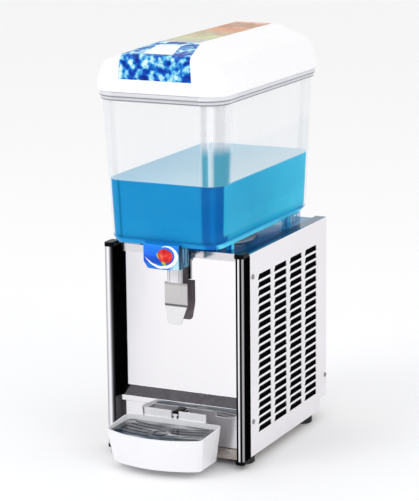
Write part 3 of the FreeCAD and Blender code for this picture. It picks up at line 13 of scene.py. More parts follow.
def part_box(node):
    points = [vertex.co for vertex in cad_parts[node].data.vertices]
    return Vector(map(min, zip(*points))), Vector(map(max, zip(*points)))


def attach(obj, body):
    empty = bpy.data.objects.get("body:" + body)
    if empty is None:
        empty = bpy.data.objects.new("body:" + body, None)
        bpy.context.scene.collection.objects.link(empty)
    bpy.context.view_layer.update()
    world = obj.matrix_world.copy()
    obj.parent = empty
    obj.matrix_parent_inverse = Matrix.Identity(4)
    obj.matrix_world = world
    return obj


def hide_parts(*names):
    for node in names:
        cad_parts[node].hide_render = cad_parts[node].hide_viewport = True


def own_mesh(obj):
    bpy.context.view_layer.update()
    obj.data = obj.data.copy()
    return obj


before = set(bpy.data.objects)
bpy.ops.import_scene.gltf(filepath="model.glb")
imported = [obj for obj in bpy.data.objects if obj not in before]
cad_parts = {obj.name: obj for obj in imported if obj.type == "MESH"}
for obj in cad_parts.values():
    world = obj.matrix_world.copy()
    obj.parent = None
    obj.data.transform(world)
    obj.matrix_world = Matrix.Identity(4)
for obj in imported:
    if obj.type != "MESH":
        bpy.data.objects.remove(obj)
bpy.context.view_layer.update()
MM = 0.001
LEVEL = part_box("evaporator_dome")[1].z + 16 * MM


# ---------------------------------------------------------------- materials: helpers

def tone(red, green, blue):
    """A colour given as display values from 0 to 255, as the linear colour a shader takes."""
    def linear(level):
        share = level / 255
        return share / 12.92 if share <= 0.04045 else ((share + 0.055) / 1.055) ** 2.4
    return (linear(red), linear(green), linear(blue), 1.0)


def grey(level):
    """A linear grey, for masks and plain greys."""
    return (level, level, level, 1.0)


def scaled(colour, share):
    """The colour made darker or lighter, up to full."""
    return tuple(min(1.0, level * share) for level in colour[:3]) + (1.0,)


class Finish:
    """A principled material with short chains of nodes feeding its sockets."""

    def __init__(self, name, **uniform):
        self.material = bpy.data.materials.new(name)
        self.material.use_nodes = True
        self.tree = self.material.node_tree
        self.shader = self.tree.nodes["Principled BSDF"]
        for socket, value in uniform.items():
            self.shader.inputs[socket.replace("_", " ")].default_value = value
        self.coordinates = self.tree.nodes.new("ShaderNodeTexCoord")

    def feed(self, output, socket):
        self.tree.links.new(output, self.shader.inputs[socket])
        return self

    def node(self, kind, inputs=(), **settings):
        made = self.tree.nodes.new(kind)
        for name, value in settings.items():
            setattr(made, name, value)
        for socket, value in dict(inputs).items():
            if isinstance(value, bpy.types.NodeSocket):
                self.tree.links.new(value, made.inputs[socket])
            else:
                made.inputs[socket].default_value = value
        return made

    def places(self, stretch=(1, 1, 1)):
        return self.node("ShaderNodeMapping", {
            "Vector": self.coordinates.outputs["Object"], "Scale": stretch}).outputs["Vector"]

    def noise(self, scale, detail=3.0, stretch=(1, 1, 1), twist=0.0):
        return self.node("ShaderNodeTexNoise", {
            "Vector": self.places(stretch), "Scale": scale, "Detail": detail,
            "Distortion": twist}).outputs["Fac"]

    def cells(self, scale):
        return self.node("ShaderNodeTexVoronoi", {
            "Vector": self.places(), "Scale": scale}).outputs["Distance"]

    def along(self, axis, which="Object"):
        split = self.node("ShaderNodeSeparateXYZ", {"Vector": self.coordinates.outputs[which]})
        return split.outputs[axis]

    def ranged(self, value, low, high, to_low=0.0, to_high=1.0, smooth=False):
        return self.node("ShaderNodeMapRange", {
            "Value": value, "From Min": low, "From Max": high, "To Min": to_low, "To Max": to_high},
            interpolation_type="SMOOTHSTEP" if smooth else "LINEAR").outputs["Result"]

    def drift(self, to_low, to_high, scale, detail=3.0, stretch=(1, 1, 1), twist=0.0):
        """Noise, with its usual values spread between two levels."""
        return self.ranged(self.noise(scale, detail, stretch, twist), 0.3, 0.7, to_low, to_high)

    def math(self, operation, first, second=0.0):
        return self.node("ShaderNodeMath", {0: first, 1: second}, operation=operation).outputs[0]

    def times(self, first, *others):
        for other in others:
            first = self.math("MULTIPLY", first, other)
        return first

    def plus(self, first, *others):
        for other in others:
            first = self.math("ADD", first, other)
        return first

    def ramp(self, value, stops):
        made = self.node("ShaderNodeValToRGB", {"Fac": value})
        for index, (place, colour) in enumerate(stops):
            if index < 2:
                element = made.color_ramp.elements[index]
                element.position = place
            else:
                element = made.color_ramp.elements.new(place)
            element.color = colour
        return made.outputs["Color"]

    def blend(self, share, first, second, mode="MIX"):
        # a Mix node's colour sockets have no names of their own: A is 6, B is 7 and the result is 2
        made = self.node("ShaderNodeMix", {0: share, 6: first, 7: second},
                         data_type="RGBA", blend_type=mode)
        return made.outputs[2]

    def bumpy(self, height, strength, distance=0.0005):
        bump = self.node("ShaderNodeBump", {
            "Height": height, "Strength": strength, "Distance": distance})
        return self.feed(bump.outputs["Normal"], "Normal")


def mottled(finish, colour, spread, scale, stretch=(1, 1, 1)):
    """The colour with slow lighter and darker patches."""
    return finish.ramp(finish.noise(scale, 4.0, stretch),
                       [(0.3, scaled(colour, 1 - spread)), (0.7, scaled(colour, 1 + spread))])


def powder_coat(name, colour, rough=0.36):
    finish = Finish(name)
    finish.feed(mottled(finish, colour, 0.025, 7), "Base Color")
    finish.feed(finish.drift(rough - 0.05, rough + 0.07, 30), "Roughness")
    return finish.bumpy(finish.noise(650, 2.0), 0.16, 0.0003).material


def moulded(name, colour, rough=0.25, spread=0.03, grain=0.05, **uniform):
    """Moulded plastic: slow tone changes, faint flow marks and a fine grain."""
    finish = Finish(name, **uniform)
    finish.feed(mottled(finish, colour, spread, 14), "Base Color")
    finish.feed(finish.drift(rough - 0.06, rough + 0.08, 45, 3.0, (1, 1, 0.3)), "Roughness")
    return finish.bumpy(finish.noise(1200, 2.0), grain, 0.0002).material


def brushed(name, colour, rough, stretch, spread=0.06, depth=0.05):
    """Metal with fine lines that run along the axis that stretch leaves small."""
    finish = Finish(name, Metallic=1.0)
    lines = finish.noise(420, 3.0, stretch)
    finish.feed(mottled(finish, colour, spread, 300, stretch), "Base Color")
    finish.feed(finish.ranged(lines, 0.25, 0.75, rough - 0.06, rough + 0.08), "Roughness")
    return finish.bumpy(lines, depth, 0.0001).material


def zinc(name, colour, rough=0.38):
    """Zinc plate: spangled patches and a soft sheen."""
    finish = Finish(name, Metallic=1.0)
    spangle = finish.cells(85)
    finish.feed(finish.ramp(spangle, [(0.1, colour), (0.7, scaled(colour, 0.82))]), "Base Color")
    finish.feed(finish.ranged(spangle, 0.1, 0.7, rough - 0.08, rough + 0.12), "Roughness")
    return finish.bumpy(finish.noise(500, 2.0), 0.1, 0.0002).material


def copper(name):
    finish = Finish(name, Metallic=1.0)
    stain = finish.noise(38, 5.0, (1, 1, 0.5), 0.6)
    finish.feed(finish.ramp(stain, [(0.3, tone(120, 62, 38)), (0.5, tone(196, 116, 78)),
                                    (0.72, tone(222, 148, 106))]), "Base Color")
    finish.feed(finish.ranged(stain, 0.3, 0.7, 0.42, 0.2), "Roughness")
    return finish.bumpy(finish.noise(700, 2.0), 0.06, 0.0002).material


def rubbery(name, colour, **uniform):
    finish = Finish(name, **uniform)
    finish.feed(mottled(finish, colour, 0.18, 60), "Base Color")
    finish.feed(finish.drift(0.55, 0.8, 90), "Roughness")
    return finish.bumpy(finish.noise(900, 4.0), 0.25, 0.0004).material


def foamed(name, colour):
    finish = Finish(name, Roughness=0.9)
    pores = finish.cells(420)
    finish.feed(mottled(finish, colour, 0.08, 40), "Base Color")
    return finish.bumpy(pores, 0.5, 0.0008).material


# ---------------------------------------------------------------- materials: this machine's own

def mirror_steel():
    """Polished sheet with a faint upright grain, its colour darker toward its left and top as
    painted shade.
    """
    low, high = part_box("splash_panel")
    finish = Finish("mirror_steel", Metallic=1.0)
    grain = finish.noise(260, 3.0, (1, 1, 0.02))
    across = finish.ranged(finish.along("X"), low.x, high.x)
    fall = finish.ranged(finish.along("Z"), low.z, high.z, -0.12, 0.12)
    place = finish.plus(finish.math("SUBTRACT", across, fall), finish.drift(-0.03, 0.03, 5))
    # painted shade: the base colour darkens toward the left, beside the post, and toward the top
    shade = finish.ramp(place, [
        (0.0, tone(214, 213, 216)), (0.16, tone(230, 228, 231)), (0.36, tone(237, 235, 237)),
        (1.0, tone(241, 239, 241))])
    finish.feed(shade, "Base Color")
    finish.feed(finish.ranged(grain, 0.3, 0.7, 0.035, 0.075), "Roughness")
    return finish.bumpy(grain, 0.012, 0.0001).material


def post_steel(name, stops):
    """Polished post: bright and dark stripes on its front, painted reflections; black sides, the
    inner one painted grey below the sill as light reaching it there.
    """
    low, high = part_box(name)
    finish = Finish(name + "_steel", Specular_IOR_Level=0.0)
    place = finish.ranged(finish.along("X"), low.x, high.x)
    # painted reflections: bright and dark stripes across the post's front
    reflection_stripes = finish.ramp(place, [(spot, tone(*shade)) for spot, shade in stops])
    metal = finish.ramp(place, [(spot, grey(min(shade[0], 200) / 215)) for spot, shade in stops])
    front = finish.ranged(finish.along("Y", "Normal"), -0.34, -0.24, 1.0, 0.0)
    inward = 0.7 if high.x < 0 else -0.7
    sill_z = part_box("drip_tray")[1].z + 10 * MM
    # painted light: the inner side face grey below the sill, black above it
    low_side = finish.times(
        finish.ranged(finish.along("X", "Normal"), inward * 0.8, inward),
        finish.ranged(finish.along("Z"), sill_z - 2 * MM, sill_z + 2 * MM, 1.0, 0.0))
    sides = finish.blend(low_side, tone(4, 4, 5), tone(92, 88, 92))
    grain = finish.noise(300, 3.0, (1, 1, 0.03))
    finish.feed(finish.blend(front, sides, reflection_stripes), "Base Color")
    finish.feed(finish.times(front, metal), "Metallic")
    finish.feed(finish.ranged(grain, 0.3, 0.7, 0.12, 0.24), "Roughness")
    return finish.bumpy(grain, 0.02, 0.0001).material


def clear_clip():
    """Clear ribbed clip that takes on the blue round it, with a painted pale highlight where it is
    seen edge on.
    """
    finish = Finish("clear_clip", IOR=1.49, Specular_IOR_Level=0.3)
    rim = finish.node("ShaderNodeLayerWeight", {"Blend": 0.35}).outputs["Facing"]
    finish.feed(finish.ranged(rim, 0.35, 0.98, 0.3, 0.8, smooth=True), "Alpha")
    tint = finish.ramp(finish.noise(60), [(0.3, tone(28, 128, 180)), (0.7, tone(60, 160, 204))])
    # painted highlight: paler where the clip is seen edge on
    edge = finish.ranged(rim, 0.6, 0.95, 0.0, 0.6, smooth=True)
    finish.feed(finish.blend(edge, tint, tone(186, 226, 240)), "Base Color")
    finish.feed(finish.drift(0.04, 0.12, 30), "Roughness")
    return finish.material


def bowl_film():
    """The clear bowl: a faint film on its walls, painted highlight streaks and a painted teal
    refraction of the drink in its front corners, lines at its rim, and a foot band painted blue
    that glows as painted light.
    """
    low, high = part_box("bowl")
    finish = Finish("clear_bowl", IOR=1.49, Specular_IOR_Level=0.1, Emission_Strength=0.3)
    across = finish.along("X", "Normal")
    lean = finish.math("ABSOLUTE", across)
    height = finish.along("Z")
    at_front = finish.ranged(finish.along("Y"), low.y + 48 * MM, low.y + 62 * MM, 1.0, 0.12)
    # painted highlights and reflections: grey and bright streaks across the corners
    corner = finish.ramp(lean, [
        (0.06, tone(236, 238, 242)), (0.12, tone(208, 209, 214)), (0.3, tone(212, 213, 218)),
        (0.42, tone(250, 250, 253)), (0.6, tone(250, 250, 253)), (0.7, tone(214, 215, 220)),
        (0.94, tone(214, 215, 220)), (0.99, tone(236, 238, 242))])
    # painted refraction: teal bands of the drink's surface seen through the front right corner
    teal = finish.ramp(lean, [
        (0.08, tone(130, 190, 212)), (0.2, tone(76, 158, 183)), (0.36, tone(92, 168, 192)),
        (0.44, tone(183, 230, 248)), (0.54, tone(120, 184, 208)), (0.66, tone(76, 160, 186)),
        (0.97, tone(72, 158, 184))])
    bend = finish.ramp(lean, [(0.05, grey(0)), (0.12, grey(1)), (0.4, grey(1)), (0.46, grey(0.5)),
                              (0.58, grey(0.5)), (0.66, grey(1))])
    near_level = finish.ranged(height, LEVEL + 46 * MM, LEVEL + 72 * MM, 1.0, 0.0, smooth=True)
    right = finish.ranged(finish.along("X"), -20 * MM, 20 * MM)
    above = finish.ranged(height, LEVEL - 0.5 * MM, LEVEL + 0.5 * MM)
    bend = finish.times(at_front, bend, above, finish.ranged(right, 0.0, 1.0, 0.3, 1.0))
    seen = finish.times(right, bend, near_level)
    walls = finish.blend(above, tone(34, 146, 203), finish.blend(seen, corner, teal))
    line, band = tone(138, 140, 145), tone(222, 223, 228)
    rim = finish.ramp(finish.ranged(height, high.z - 15 * MM, high.z), [
        (0.04, tone(236, 238, 242)), (0.1, line), (0.2, line), (0.26, band), (0.46, band),
        (0.52, line), (0.6, line), (0.66, band), (0.9, band)])
    at_rim = finish.ranged(height, high.z - 14.5 * MM, high.z - 14 * MM)
    at_foot = finish.ranged(height, low.z + 20 * MM, low.z + 27 * MM, 1.0, 0.0, smooth=True)
    # painted light and shade: the foot band deep blue, bright on its right side
    foot = finish.ramp(across, [(0.0, tone(26, 136, 194)), (0.2, tone(4, 92, 170)),
                                (0.64, tone(4, 92, 170)), (0.8, tone(90, 206, 236))])
    finish.feed(finish.blend(at_rim, finish.blend(at_foot, walls, foot), rim), "Base Color")
    # painted light: the foot band glows
    finish.feed(finish.blend(at_foot, grey(0), foot), "Emission Color")
    streak = finish.drift(-0.006, 0.012, 30, 2.0, (1, 1, 0.02))
    film = finish.plus(streak, finish.times(bend, 0.34), finish.times(seen, 0.42),
                       finish.times(at_rim, 0.8), finish.times(at_foot, 0.9), 0.055)
    finish.feed(film, "Alpha")
    finish.feed(finish.drift(0.03, 0.08, 30), "Roughness")
    return finish.material


def drink_colours():
    """Blue drink with painted light and shade: deep in its front right corner, paler along its
    right side and on its surface, and glowing a little.
    """
    low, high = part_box("bowl")
    finish = Finish("blue_drink", Roughness=0.12, IOR=1.34, Specular_IOR_Level=0.04,
                    Emission_Strength=0.28)
    lean = finish.ranged(finish.along("X", "Normal"), -1.0, 1.0)
    along = finish.ranged(finish.along("Y"), low.y, high.y)
    # painted shade: the deep blues through the front right corner
    front, deep = tone(24, 136, 194), tone(0, 82, 158)
    # painted light: paler along the right side
    side = finish.ramp(finish.plus(along, finish.drift(-0.08, 0.08, 12)), [
        (0.0, tone(46, 172, 212)), (0.4, tone(32, 160, 200)), (0.62, tone(44, 174, 210)),
        (0.9, tone(62, 190, 222))])
    corner = finish.ramp(lean, [
        (0.0, tone(34, 140, 196)), (0.36, tone(26, 138, 194)), (0.42, tone(0, 96, 150)),
        (0.47, front), (0.505, front), (0.54, deep), (0.68, deep), (0.8, tone(2, 104, 180)),
        (0.9, deep), (0.985, deep)])
    beside = finish.math("MAXIMUM", finish.ranged(lean, 0.988, 0.996),
                         finish.ranged(finish.along("Y"), low.y + 55 * MM, low.y + 65 * MM))
    sides = finish.blend(beside, corner, side)
    haze = finish.ranged(finish.noise(9, 3.0, (1, 1, 1.6)), 0.35, 0.7, 0.0, 0.07)
    swirl = finish.blend(haze, sides, tone(96, 196, 226))
    spread = finish.plus(finish.ranged(finish.along("X"), low.x, high.x),
                         finish.drift(-0.1, 0.1, 7, 3.0, (1, 0.5, 1)))
    # painted light: the top surface paler
    painted_surface_light = finish.ramp(spread, [(0.05, tone(138, 188, 212)), (0.5, tone(164, 205, 223)),
                                (0.85, tone(192, 219, 230))])
    upward = finish.ranged(finish.along("Z", "Normal"), 0.6, 0.9)
    colour = finish.blend(upward, swirl, painted_surface_light)
    finish.feed(finish.blend(1.0, colour, grey(0.8), "MULTIPLY"), "Base Color")
    # painted light: the drink glows with its own colour
    finish.feed(colour, "Emission Color")
    return finish.bumpy(finish.times(finish.noise(26, 3.0), upward), 0.12, 0.001).material


def splash_print(name, scale):
    """A generic printed splash: mottled blues with pale foam."""
    finish = Finish(name, Roughness=0.3, Specular_IOR_Level=0.15)
    water = finish.noise(scale, 8.0)
    slow = finish.noise(scale * 0.3, 2.0)
    mixed = finish.plus(finish.times(water, 0.8), finish.times(slow, 0.2))
    blues = finish.ramp(mixed, [
        (0.38, tone(0, 34, 134)), (0.45, tone(2, 70, 178)), (0.5, tone(24, 124, 206)),
        (0.54, tone(92, 184, 220)), (0.58, tone(160, 214, 226)), (0.64, tone(216, 238, 240))])
    foam = finish.ranged(finish.cells(scale * 3), 0.05, 0.3, 0.8, 0.0)
    spotted = finish.blend(finish.times(foam, finish.ranged(mixed, 0.5, 0.56)), blues,
                           tone(230, 247, 250))
    return finish.feed(spotted, "Base Color").bumpy(water, 0.04, 0.0003).material


def fruit_print(name):
    """A generic printed band along the lid: grey, then pale green, yellow and orange patches."""
    finish = Finish(name, Roughness=0.3, Specular_IOR_Level=0.2)
    low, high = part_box("lid")
    place = finish.ranged(finish.along("Y"), low.y, high.y)
    patchy = finish.plus(place, finish.drift(-0.09, 0.09, 22, 4.0, (1, 1, 1), 0.8))
    bands = finish.ramp(patchy, [
        (0.0, tone(176, 178, 176)), (0.28, tone(180, 182, 172)), (0.38, tone(190, 198, 136)),
        (0.5, tone(176, 158, 118)), (0.62, tone(204, 148, 98)), (0.72, tone(212, 122, 66)),
        (0.8, tone(156, 112, 70)), (0.92, tone(232, 152, 120))])
    finish.feed(finish.blend(finish.ranged(finish.cells(70), 0.1, 0.5, 0.35, 0.0), bands,
                             tone(250, 240, 214)), "Base Color")
    return finish.bumpy(finish.noise(120), 0.04, 0.0003).material


def cover_plastic():
    """Tap cover: glossy blue with a darker band, paler at its lower right, its right end painted
    dark teal streaks as shade and reflection, its left edge a painted pale highlight.
    """
    low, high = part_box("faucet_cover")
    finish = Finish("cover_plastic", Specular_IOR_Level=0.2)
    rise = finish.ranged(finish.along("Z"), low.z, high.z)
    across = finish.ranged(finish.along("X"), low.x, high.x)
    flow = finish.drift(-0.06, 0.06, 70, 4.0, (1, 1, 0.4), 0.8)
    blue = finish.ramp(rise, [
        (0.0, tone(16, 112, 216)), (0.16, tone(18, 112, 214)), (0.3, tone(2, 70, 196)),
        (0.48, tone(4, 84, 208)), (0.56, tone(14, 104, 232)), (0.9, tone(22, 122, 238)),
        (1.0, tone(28, 140, 226))])
    place = finish.math("SUBTRACT", across, finish.times(rise, 0.22))
    pale_lower_right = finish.ranged(finish.plus(place, flow), 0.74, 0.82)
    front = finish.blend(pale_lower_right, blue, finish.ramp(rise, [
        (0.1, tone(186, 222, 238)), (0.42, tone(150, 206, 232)), (0.7, tone(40, 130, 200))]))
    # painted shade and reflection: dark teal streaks on the right-facing end
    streaks = finish.ramp(finish.noise(150, 3.0, (1, 1, 0.08)), [
        (0.4, tone(2, 42, 66)), (0.5, tone(10, 84, 124)), (0.6, tone(96, 176, 206))])
    right = finish.ranged(finish.along("X", "Normal"), 0.45, 0.75)
    # painted highlight: pale along the left edge
    left = finish.ranged(across, 0.0, 0.035, 1.0, 0.0)
    body = finish.blend(left, finish.blend(right, front, streaks), tone(140, 202, 248))
    finish.feed(body, "Base Color")
    finish.feed(finish.drift(0.16, 0.26, 50), "Roughness")
    return finish.bumpy(finish.noise(1100, 2.0), 0.04, 0.0002).material


def smoky_tap():
    """The tap's clear body, dark teal from the drink in it and from painted shade, with pale
    painted reflection streaks.
    """
    finish = Finish("smoky_tap", Specular_IOR_Level=0.3)
    streaks = finish.noise(110, 4.0, (1, 1, 0.15), 0.4)
    # painted shade and reflection: dark teal with pale streaks
    finish.feed(finish.ramp(streaks, [
        (0.38, tone(3, 36, 52)), (0.5, tone(14, 84, 112)), (0.6, tone(60, 146, 172)),
        (0.68, tone(176, 212, 222))]), "Base Color")
    finish.feed(finish.ranged(streaks, 0.3, 0.7, 0.1, 0.25), "Roughness")
    return finish.bumpy(finish.noise(900, 2.0), 0.05, 0.0002).material


def lever_plastic():
    """The lever's arm: white, with dark lines at its edges and a dark back, both painted shade."""
    low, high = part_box("lever_arm")
    finish = Finish("lever_plastic", Specular_IOR_Level=0.3)
    across = finish.ranged(finish.along("X"), low.x, high.x)
    # painted shade: dark lines along the arm's edges
    stripes = finish.ramp(across, [
        (0.0, tone(150, 148, 150)), (0.06, tone(232, 230, 232)), (0.14, tone(236, 234, 236)),
        (0.17, tone(96, 94, 96)), (0.2, tone(240, 238, 240)), (0.8, tone(238, 236, 238)),
        (0.83, tone(70, 68, 70)), (0.87, tone(234, 232, 234)), (0.97, tone(200, 198, 200))])
    # painted shade: the back dark
    back = finish.ranged(finish.along("Y", "Normal"), 0.3, 0.6)
    finish.feed(finish.blend(back, stripes, tone(22, 20, 22)), "Base Color")
    finish.feed(finish.drift(0.22, 0.34, 45), "Roughness")
    return finish.bumpy(finish.noise(900, 2.0), 0.05, 0.0002).material


def lever_steel():
    """The lever's plate: brushed, with painted light and shade: paler below its bend, a dark
    painted reflection along the bend, and dark edges and back.
    """
    low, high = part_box("dispensing_lever")
    finish = Finish("lever_steel", Specular_IOR_Level=0.3)
    height = finish.ranged(finish.along("Z"), low.z, high.z)
    # painted light and shade: paler below the bend, a dark painted reflection along it
    shades = finish.ramp(height, [
        (0.0, tone(226, 224, 226)), (0.27, tone(232, 230, 232)), (0.288, tone(88, 84, 86)),
        (0.306, tone(88, 84, 86)), (0.32, tone(198, 194, 195)), (0.6, tone(206, 202, 203)),
        (0.65, tone(150, 147, 149))])
    grain = finish.noise(420, 3.0, (1, 1, 0.05))
    back = finish.ranged(finish.along("Y", "Normal"), 0.3, 0.6)
    # painted shade: the back darker, with a brushed grain
    brushed_shaded_back = finish.ramp(grain, [(0.3, tone(128, 120, 122)), (0.7, tone(148, 140, 142))])
    face = finish.blend(finish.ranged(grain, 0.3, 0.7, 0.0, 0.12), shades, tone(150, 148, 150))
    # painted shade: dark edges
    rim = finish.ranged(finish.along("Y", "Normal"), -0.6, -0.4)
    edged = finish.blend(rim, face, tone(92, 88, 90))
    finish.feed(finish.blend(back, edged, brushed_shaded_back), "Base Color")
    finish.feed(finish.ranged(grain, 0.25, 0.75, 0.2, 0.36), "Roughness")
    finish.feed(finish.times(finish.ranged(height, 0.3, 0.34), 0.3,
                             finish.ranged(back, 0.0, 1.0, 1.0, 0.0)), "Metallic")
    return finish.bumpy(grain, 0.01, 0.0001).material


def deck_steel():
    """Bright plate whose top is painted blue, a painted reflection of the drink over it."""
    finish = Finish("deck_steel", Metallic=1.0)
    lines = finish.noise(420, 3.0, (1, 0.05, 1))
    up = finish.ranged(finish.along("Z", "Normal"), 0.6, 0.9)
    # painted reflection: the drink's blue on the top
    top = finish.ramp(lines, [(0.3, tone(26, 112, 158)), (0.7, tone(44, 132, 176))])
    plain = finish.ramp(lines, [(0.3, tone(196, 194, 198)), (0.7, tone(218, 217, 220))])
    finish.feed(finish.blend(up, plain, top), "Base Color")
    finish.feed(finish.ranged(lines, 0.3, 0.7, 0.1, 0.2), "Roughness")
    return finish.bumpy(lines, 0.03, 0.0001).material


def grid_gloss():
    """Black glossy grid with broad pale painted reflections that bend round its middle, and painted
    bluer at the front as reflection.
    """
    low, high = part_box("drip_grid")
    finish = Finish("grid_gloss", Specular_IOR_Level=0.5)
    forward = finish.ranged(finish.along("Y"), low.y, high.y)
    across = finish.ranged(finish.along("X"), low.x, high.x, -1.0, 1.0)
    # painted reflection: broad pale bands that bend round the middle
    bow = finish.times(across, across, 1.3)
    warp = finish.drift(-1.4, 1.4, 16, 1.0)
    turn = finish.plus(finish.ranged(forward, 0.0, 1.0, 0.4, 15.0), finish.plus(bow, warp))
    sheen = finish.ranged(finish.math("SINE", turn), 0.1, 0.9, smooth=True)
    patches = finish.ranged(finish.noise(20, 1.0), 0.35, 0.65, 0.1, 0.85)
    # painted reflection: the dark tone bluer toward the front
    dark = finish.ramp(forward, [(0.0, tone(14, 66, 92)), (0.3, tone(30, 48, 62)),
                                 (0.5, tone(46, 50, 60)), (1.0, tone(66, 66, 74))])
    top = finish.ranged(finish.along("Z", "Normal"), 0.6, 0.9)
    finish.feed(finish.blend(finish.times(sheen, patches, top), dark, tone(190, 194, 200)),
                "Base Color")
    finish.feed(finish.drift(0.08, 0.2, 60), "Roughness")
    return finish.bumpy(finish.noise(700, 2.0), 0.05, 0.0002).material


def panel_paint():
    """White powder coat; its upward faces are metallic and smoother, with a painted dark blue
    reflection of the bowl.
    """
    finish = Finish("panel_paint", Specular_IOR_Level=0.35)
    up = finish.ranged(finish.along("Z", "Normal"), 0.7, 0.9)
    # painted reflection: upward faces dark blue, as the bowl above them
    finish.feed(finish.blend(up, mottled(finish, tone(231, 228, 232), 0.02, 7), tone(8, 84, 122)),
                "Base Color")
    finish.feed(finish.ranged(up, 0.0, 1.0, 0.0, 0.95), "Metallic")
    orange_peel = finish.drift(0.31, 0.43, 30)
    finish.feed(finish.times(orange_peel, finish.ranged(up, 0.0, 1.0, 1.0, 0.2)), "Roughness")
    return finish.bumpy(finish.noise(650, 2.0), 0.14, 0.0003).material


def switch_lens(name, colour):
    """A rocker's coloured lens: mottled lighter and darker, with fine ribs."""
    finish = Finish(name, Roughness=0.15)
    finish.feed(mottled(finish, colour, 0.25, 70), "Base Color")
    ribs = finish.node("ShaderNodeTexWave", {"Vector": finish.places(), "Scale": 260.0},
                       bands_direction="Z").outputs["Fac"]
    return finish.bumpy(ribs, 0.15, 0.0002).material


def berry_skin():
    finish = Finish("berry_skin", Roughness=0.18, Specular_IOR_Level=0.25)
    seeds = finish.cells(420)
    flesh = finish.ramp(finish.noise(120, 3.0), [
        (0.3, tone(178, 16, 22)), (0.55, tone(232, 52, 46)), (0.75, tone(246, 128, 104))])
    finish.feed(flesh, "Base Color")
    return finish.bumpy(seeds, 0.4, 0.0006).material


FINISHES = {
    "side_white": panel_paint(),
    "lid_white": moulded("lid_white", tone(246, 245, 247), 0.3, 0.012, 0.0),
    "tray_white": moulded("tray_white", tone(240, 240, 243), 0.22, 0.015),
    "tap_white": moulded("tap_white", tone(236, 236, 238), 0.25, 0.02),
    "smoky_tap": smoky_tap(),
    "lever_plastic": lever_plastic(),
    "lever_steel": lever_steel(),
    "black_cap": moulded("black_cap", tone(7, 8, 9), 0.2, 0.2, Specular_IOR_Level=0.05),
    "black_part": moulded("black_part", tone(24, 24, 26), 0.4, 0.2, 0.12),
    "black_rubber": rubbery("black_rubber", tone(20, 20, 21)),
    "grey_rubber": rubbery("grey_rubber", tone(150, 150, 148)),
    "mirror_steel": mirror_steel(),
    "deck_steel": deck_steel(),
    "bright_steel": brushed("bright_steel", tone(205, 204, 207), 0.16, (1, 1, 0.05)),
    "shaft_steel": brushed("shaft_steel", tone(190, 190, 192), 0.24, (0.08, 1, 1)),
    "screw_steel": brushed("screw_steel", tone(150, 148, 152), 0.28, (1, 0.2, 0.2), 0.12, 0.12),
    "galvanised": zinc("galvanised", tone(176, 178, 178)),
    "pan_zinc": zinc("pan_zinc", tone(214, 205, 198), 0.3),
    # painted shade: darker zinc and aluminium for the parts inside the cabinet
    "shade_darkened_zinc": zinc("shade_darkened_zinc", tone(92, 94, 96), 0.5),
    "fin_aluminium": brushed("fin_aluminium", tone(120, 122, 124), 0.4, (1, 1, 0.1), 0.15),
    "shell_enamel": powder_coat("shell_enamel", tone(12, 12, 14), 0.3),
    "motor_enamel": powder_coat("motor_enamel", tone(58, 60, 64), 0.5),
    "magnet_iron": powder_coat("magnet_iron", tone(46, 44, 46), 0.6),
    "copper": copper("copper"),
    "foam": foamed("foam", tone(214, 204, 168)),
    "grid_gloss": grid_gloss(),
    "cover_plastic": cover_plastic(),
    "green_lens": switch_lens("green_lens", tone(30, 150, 66)),
    "red_lens": switch_lens("red_lens", tone(196, 28, 24)),
    "clear_bowl": bowl_film(),
    "clear_clip": clear_clip(),
}

NODE_FINISH = {
    "side_white": ["side_panel_left", "side_panel_right", "rear_panel"],
    "lid_white": ["lid"],
    "tray_white": ["drip_tray"],
    "tap_white": ["valve_plunger", "stirrer"],
    "smoky_tap": ["faucet_body"],
    "lever_plastic": ["lever_arm"],
    "lever_steel": ["dispensing_lever"],
    "black_cap": ["post_caps", "tray_clip", "switch_bezels"],
    "black_part": ["compressor_terminal_cover", "fan_blade", "thermostat_knob", "cord_gland",
                   "junction_box"],
    "black_rubber": ["rubber_feet", "compressor_grommets"],
    "grey_rubber": ["bowl_seal"],
    "mirror_steel": ["splash_panel"],
    "deck_steel": ["deck_plate"],
    "bright_steel": ["evaporator_dome"],
    "pan_zinc": ["base_pan"],
    "shaft_steel": ["fan_shaft", "drive_shaft", "lever_pin", "valve_spring"],
    "screw_steel": ["side_panel_screws", "rear_panel_screws", "foot_bolts", "compressor_studs",
                    "lever_screw"],
    "galvanised": ["rear_uprights", "thermostat"],
    "shade_darkened_zinc": ["condenser_end_plates", "fan_shroud", "fan_bracket",
                   "agitator_motor_bracket"],
    "fin_aluminium": ["condenser_fins"],
    "shell_enamel": ["compressor"],
    "motor_enamel": ["fan_motor", "agitator_motor"],
    "magnet_iron": ["drive_magnet"],
    "copper": ["condenser_coil", "evaporator_coil", "discharge_pipe", "suction_pipe",
               "filter_drier", "capillary_tube"],
    "foam": ["evaporator_foam"],
    "grid_gloss": ["drip_grid"],
    "cover_plastic": ["faucet_cover"],
    "green_lens": ["cooling_switch"],
    "red_lens": ["stirring_switch"],
    "clear_bowl": ["bowl"],
    "clear_clip": ["bowl_side_clips"],
}


def coat(thing, material):
    thing.data.materials.clear()
    thing.data.materials.append(material)


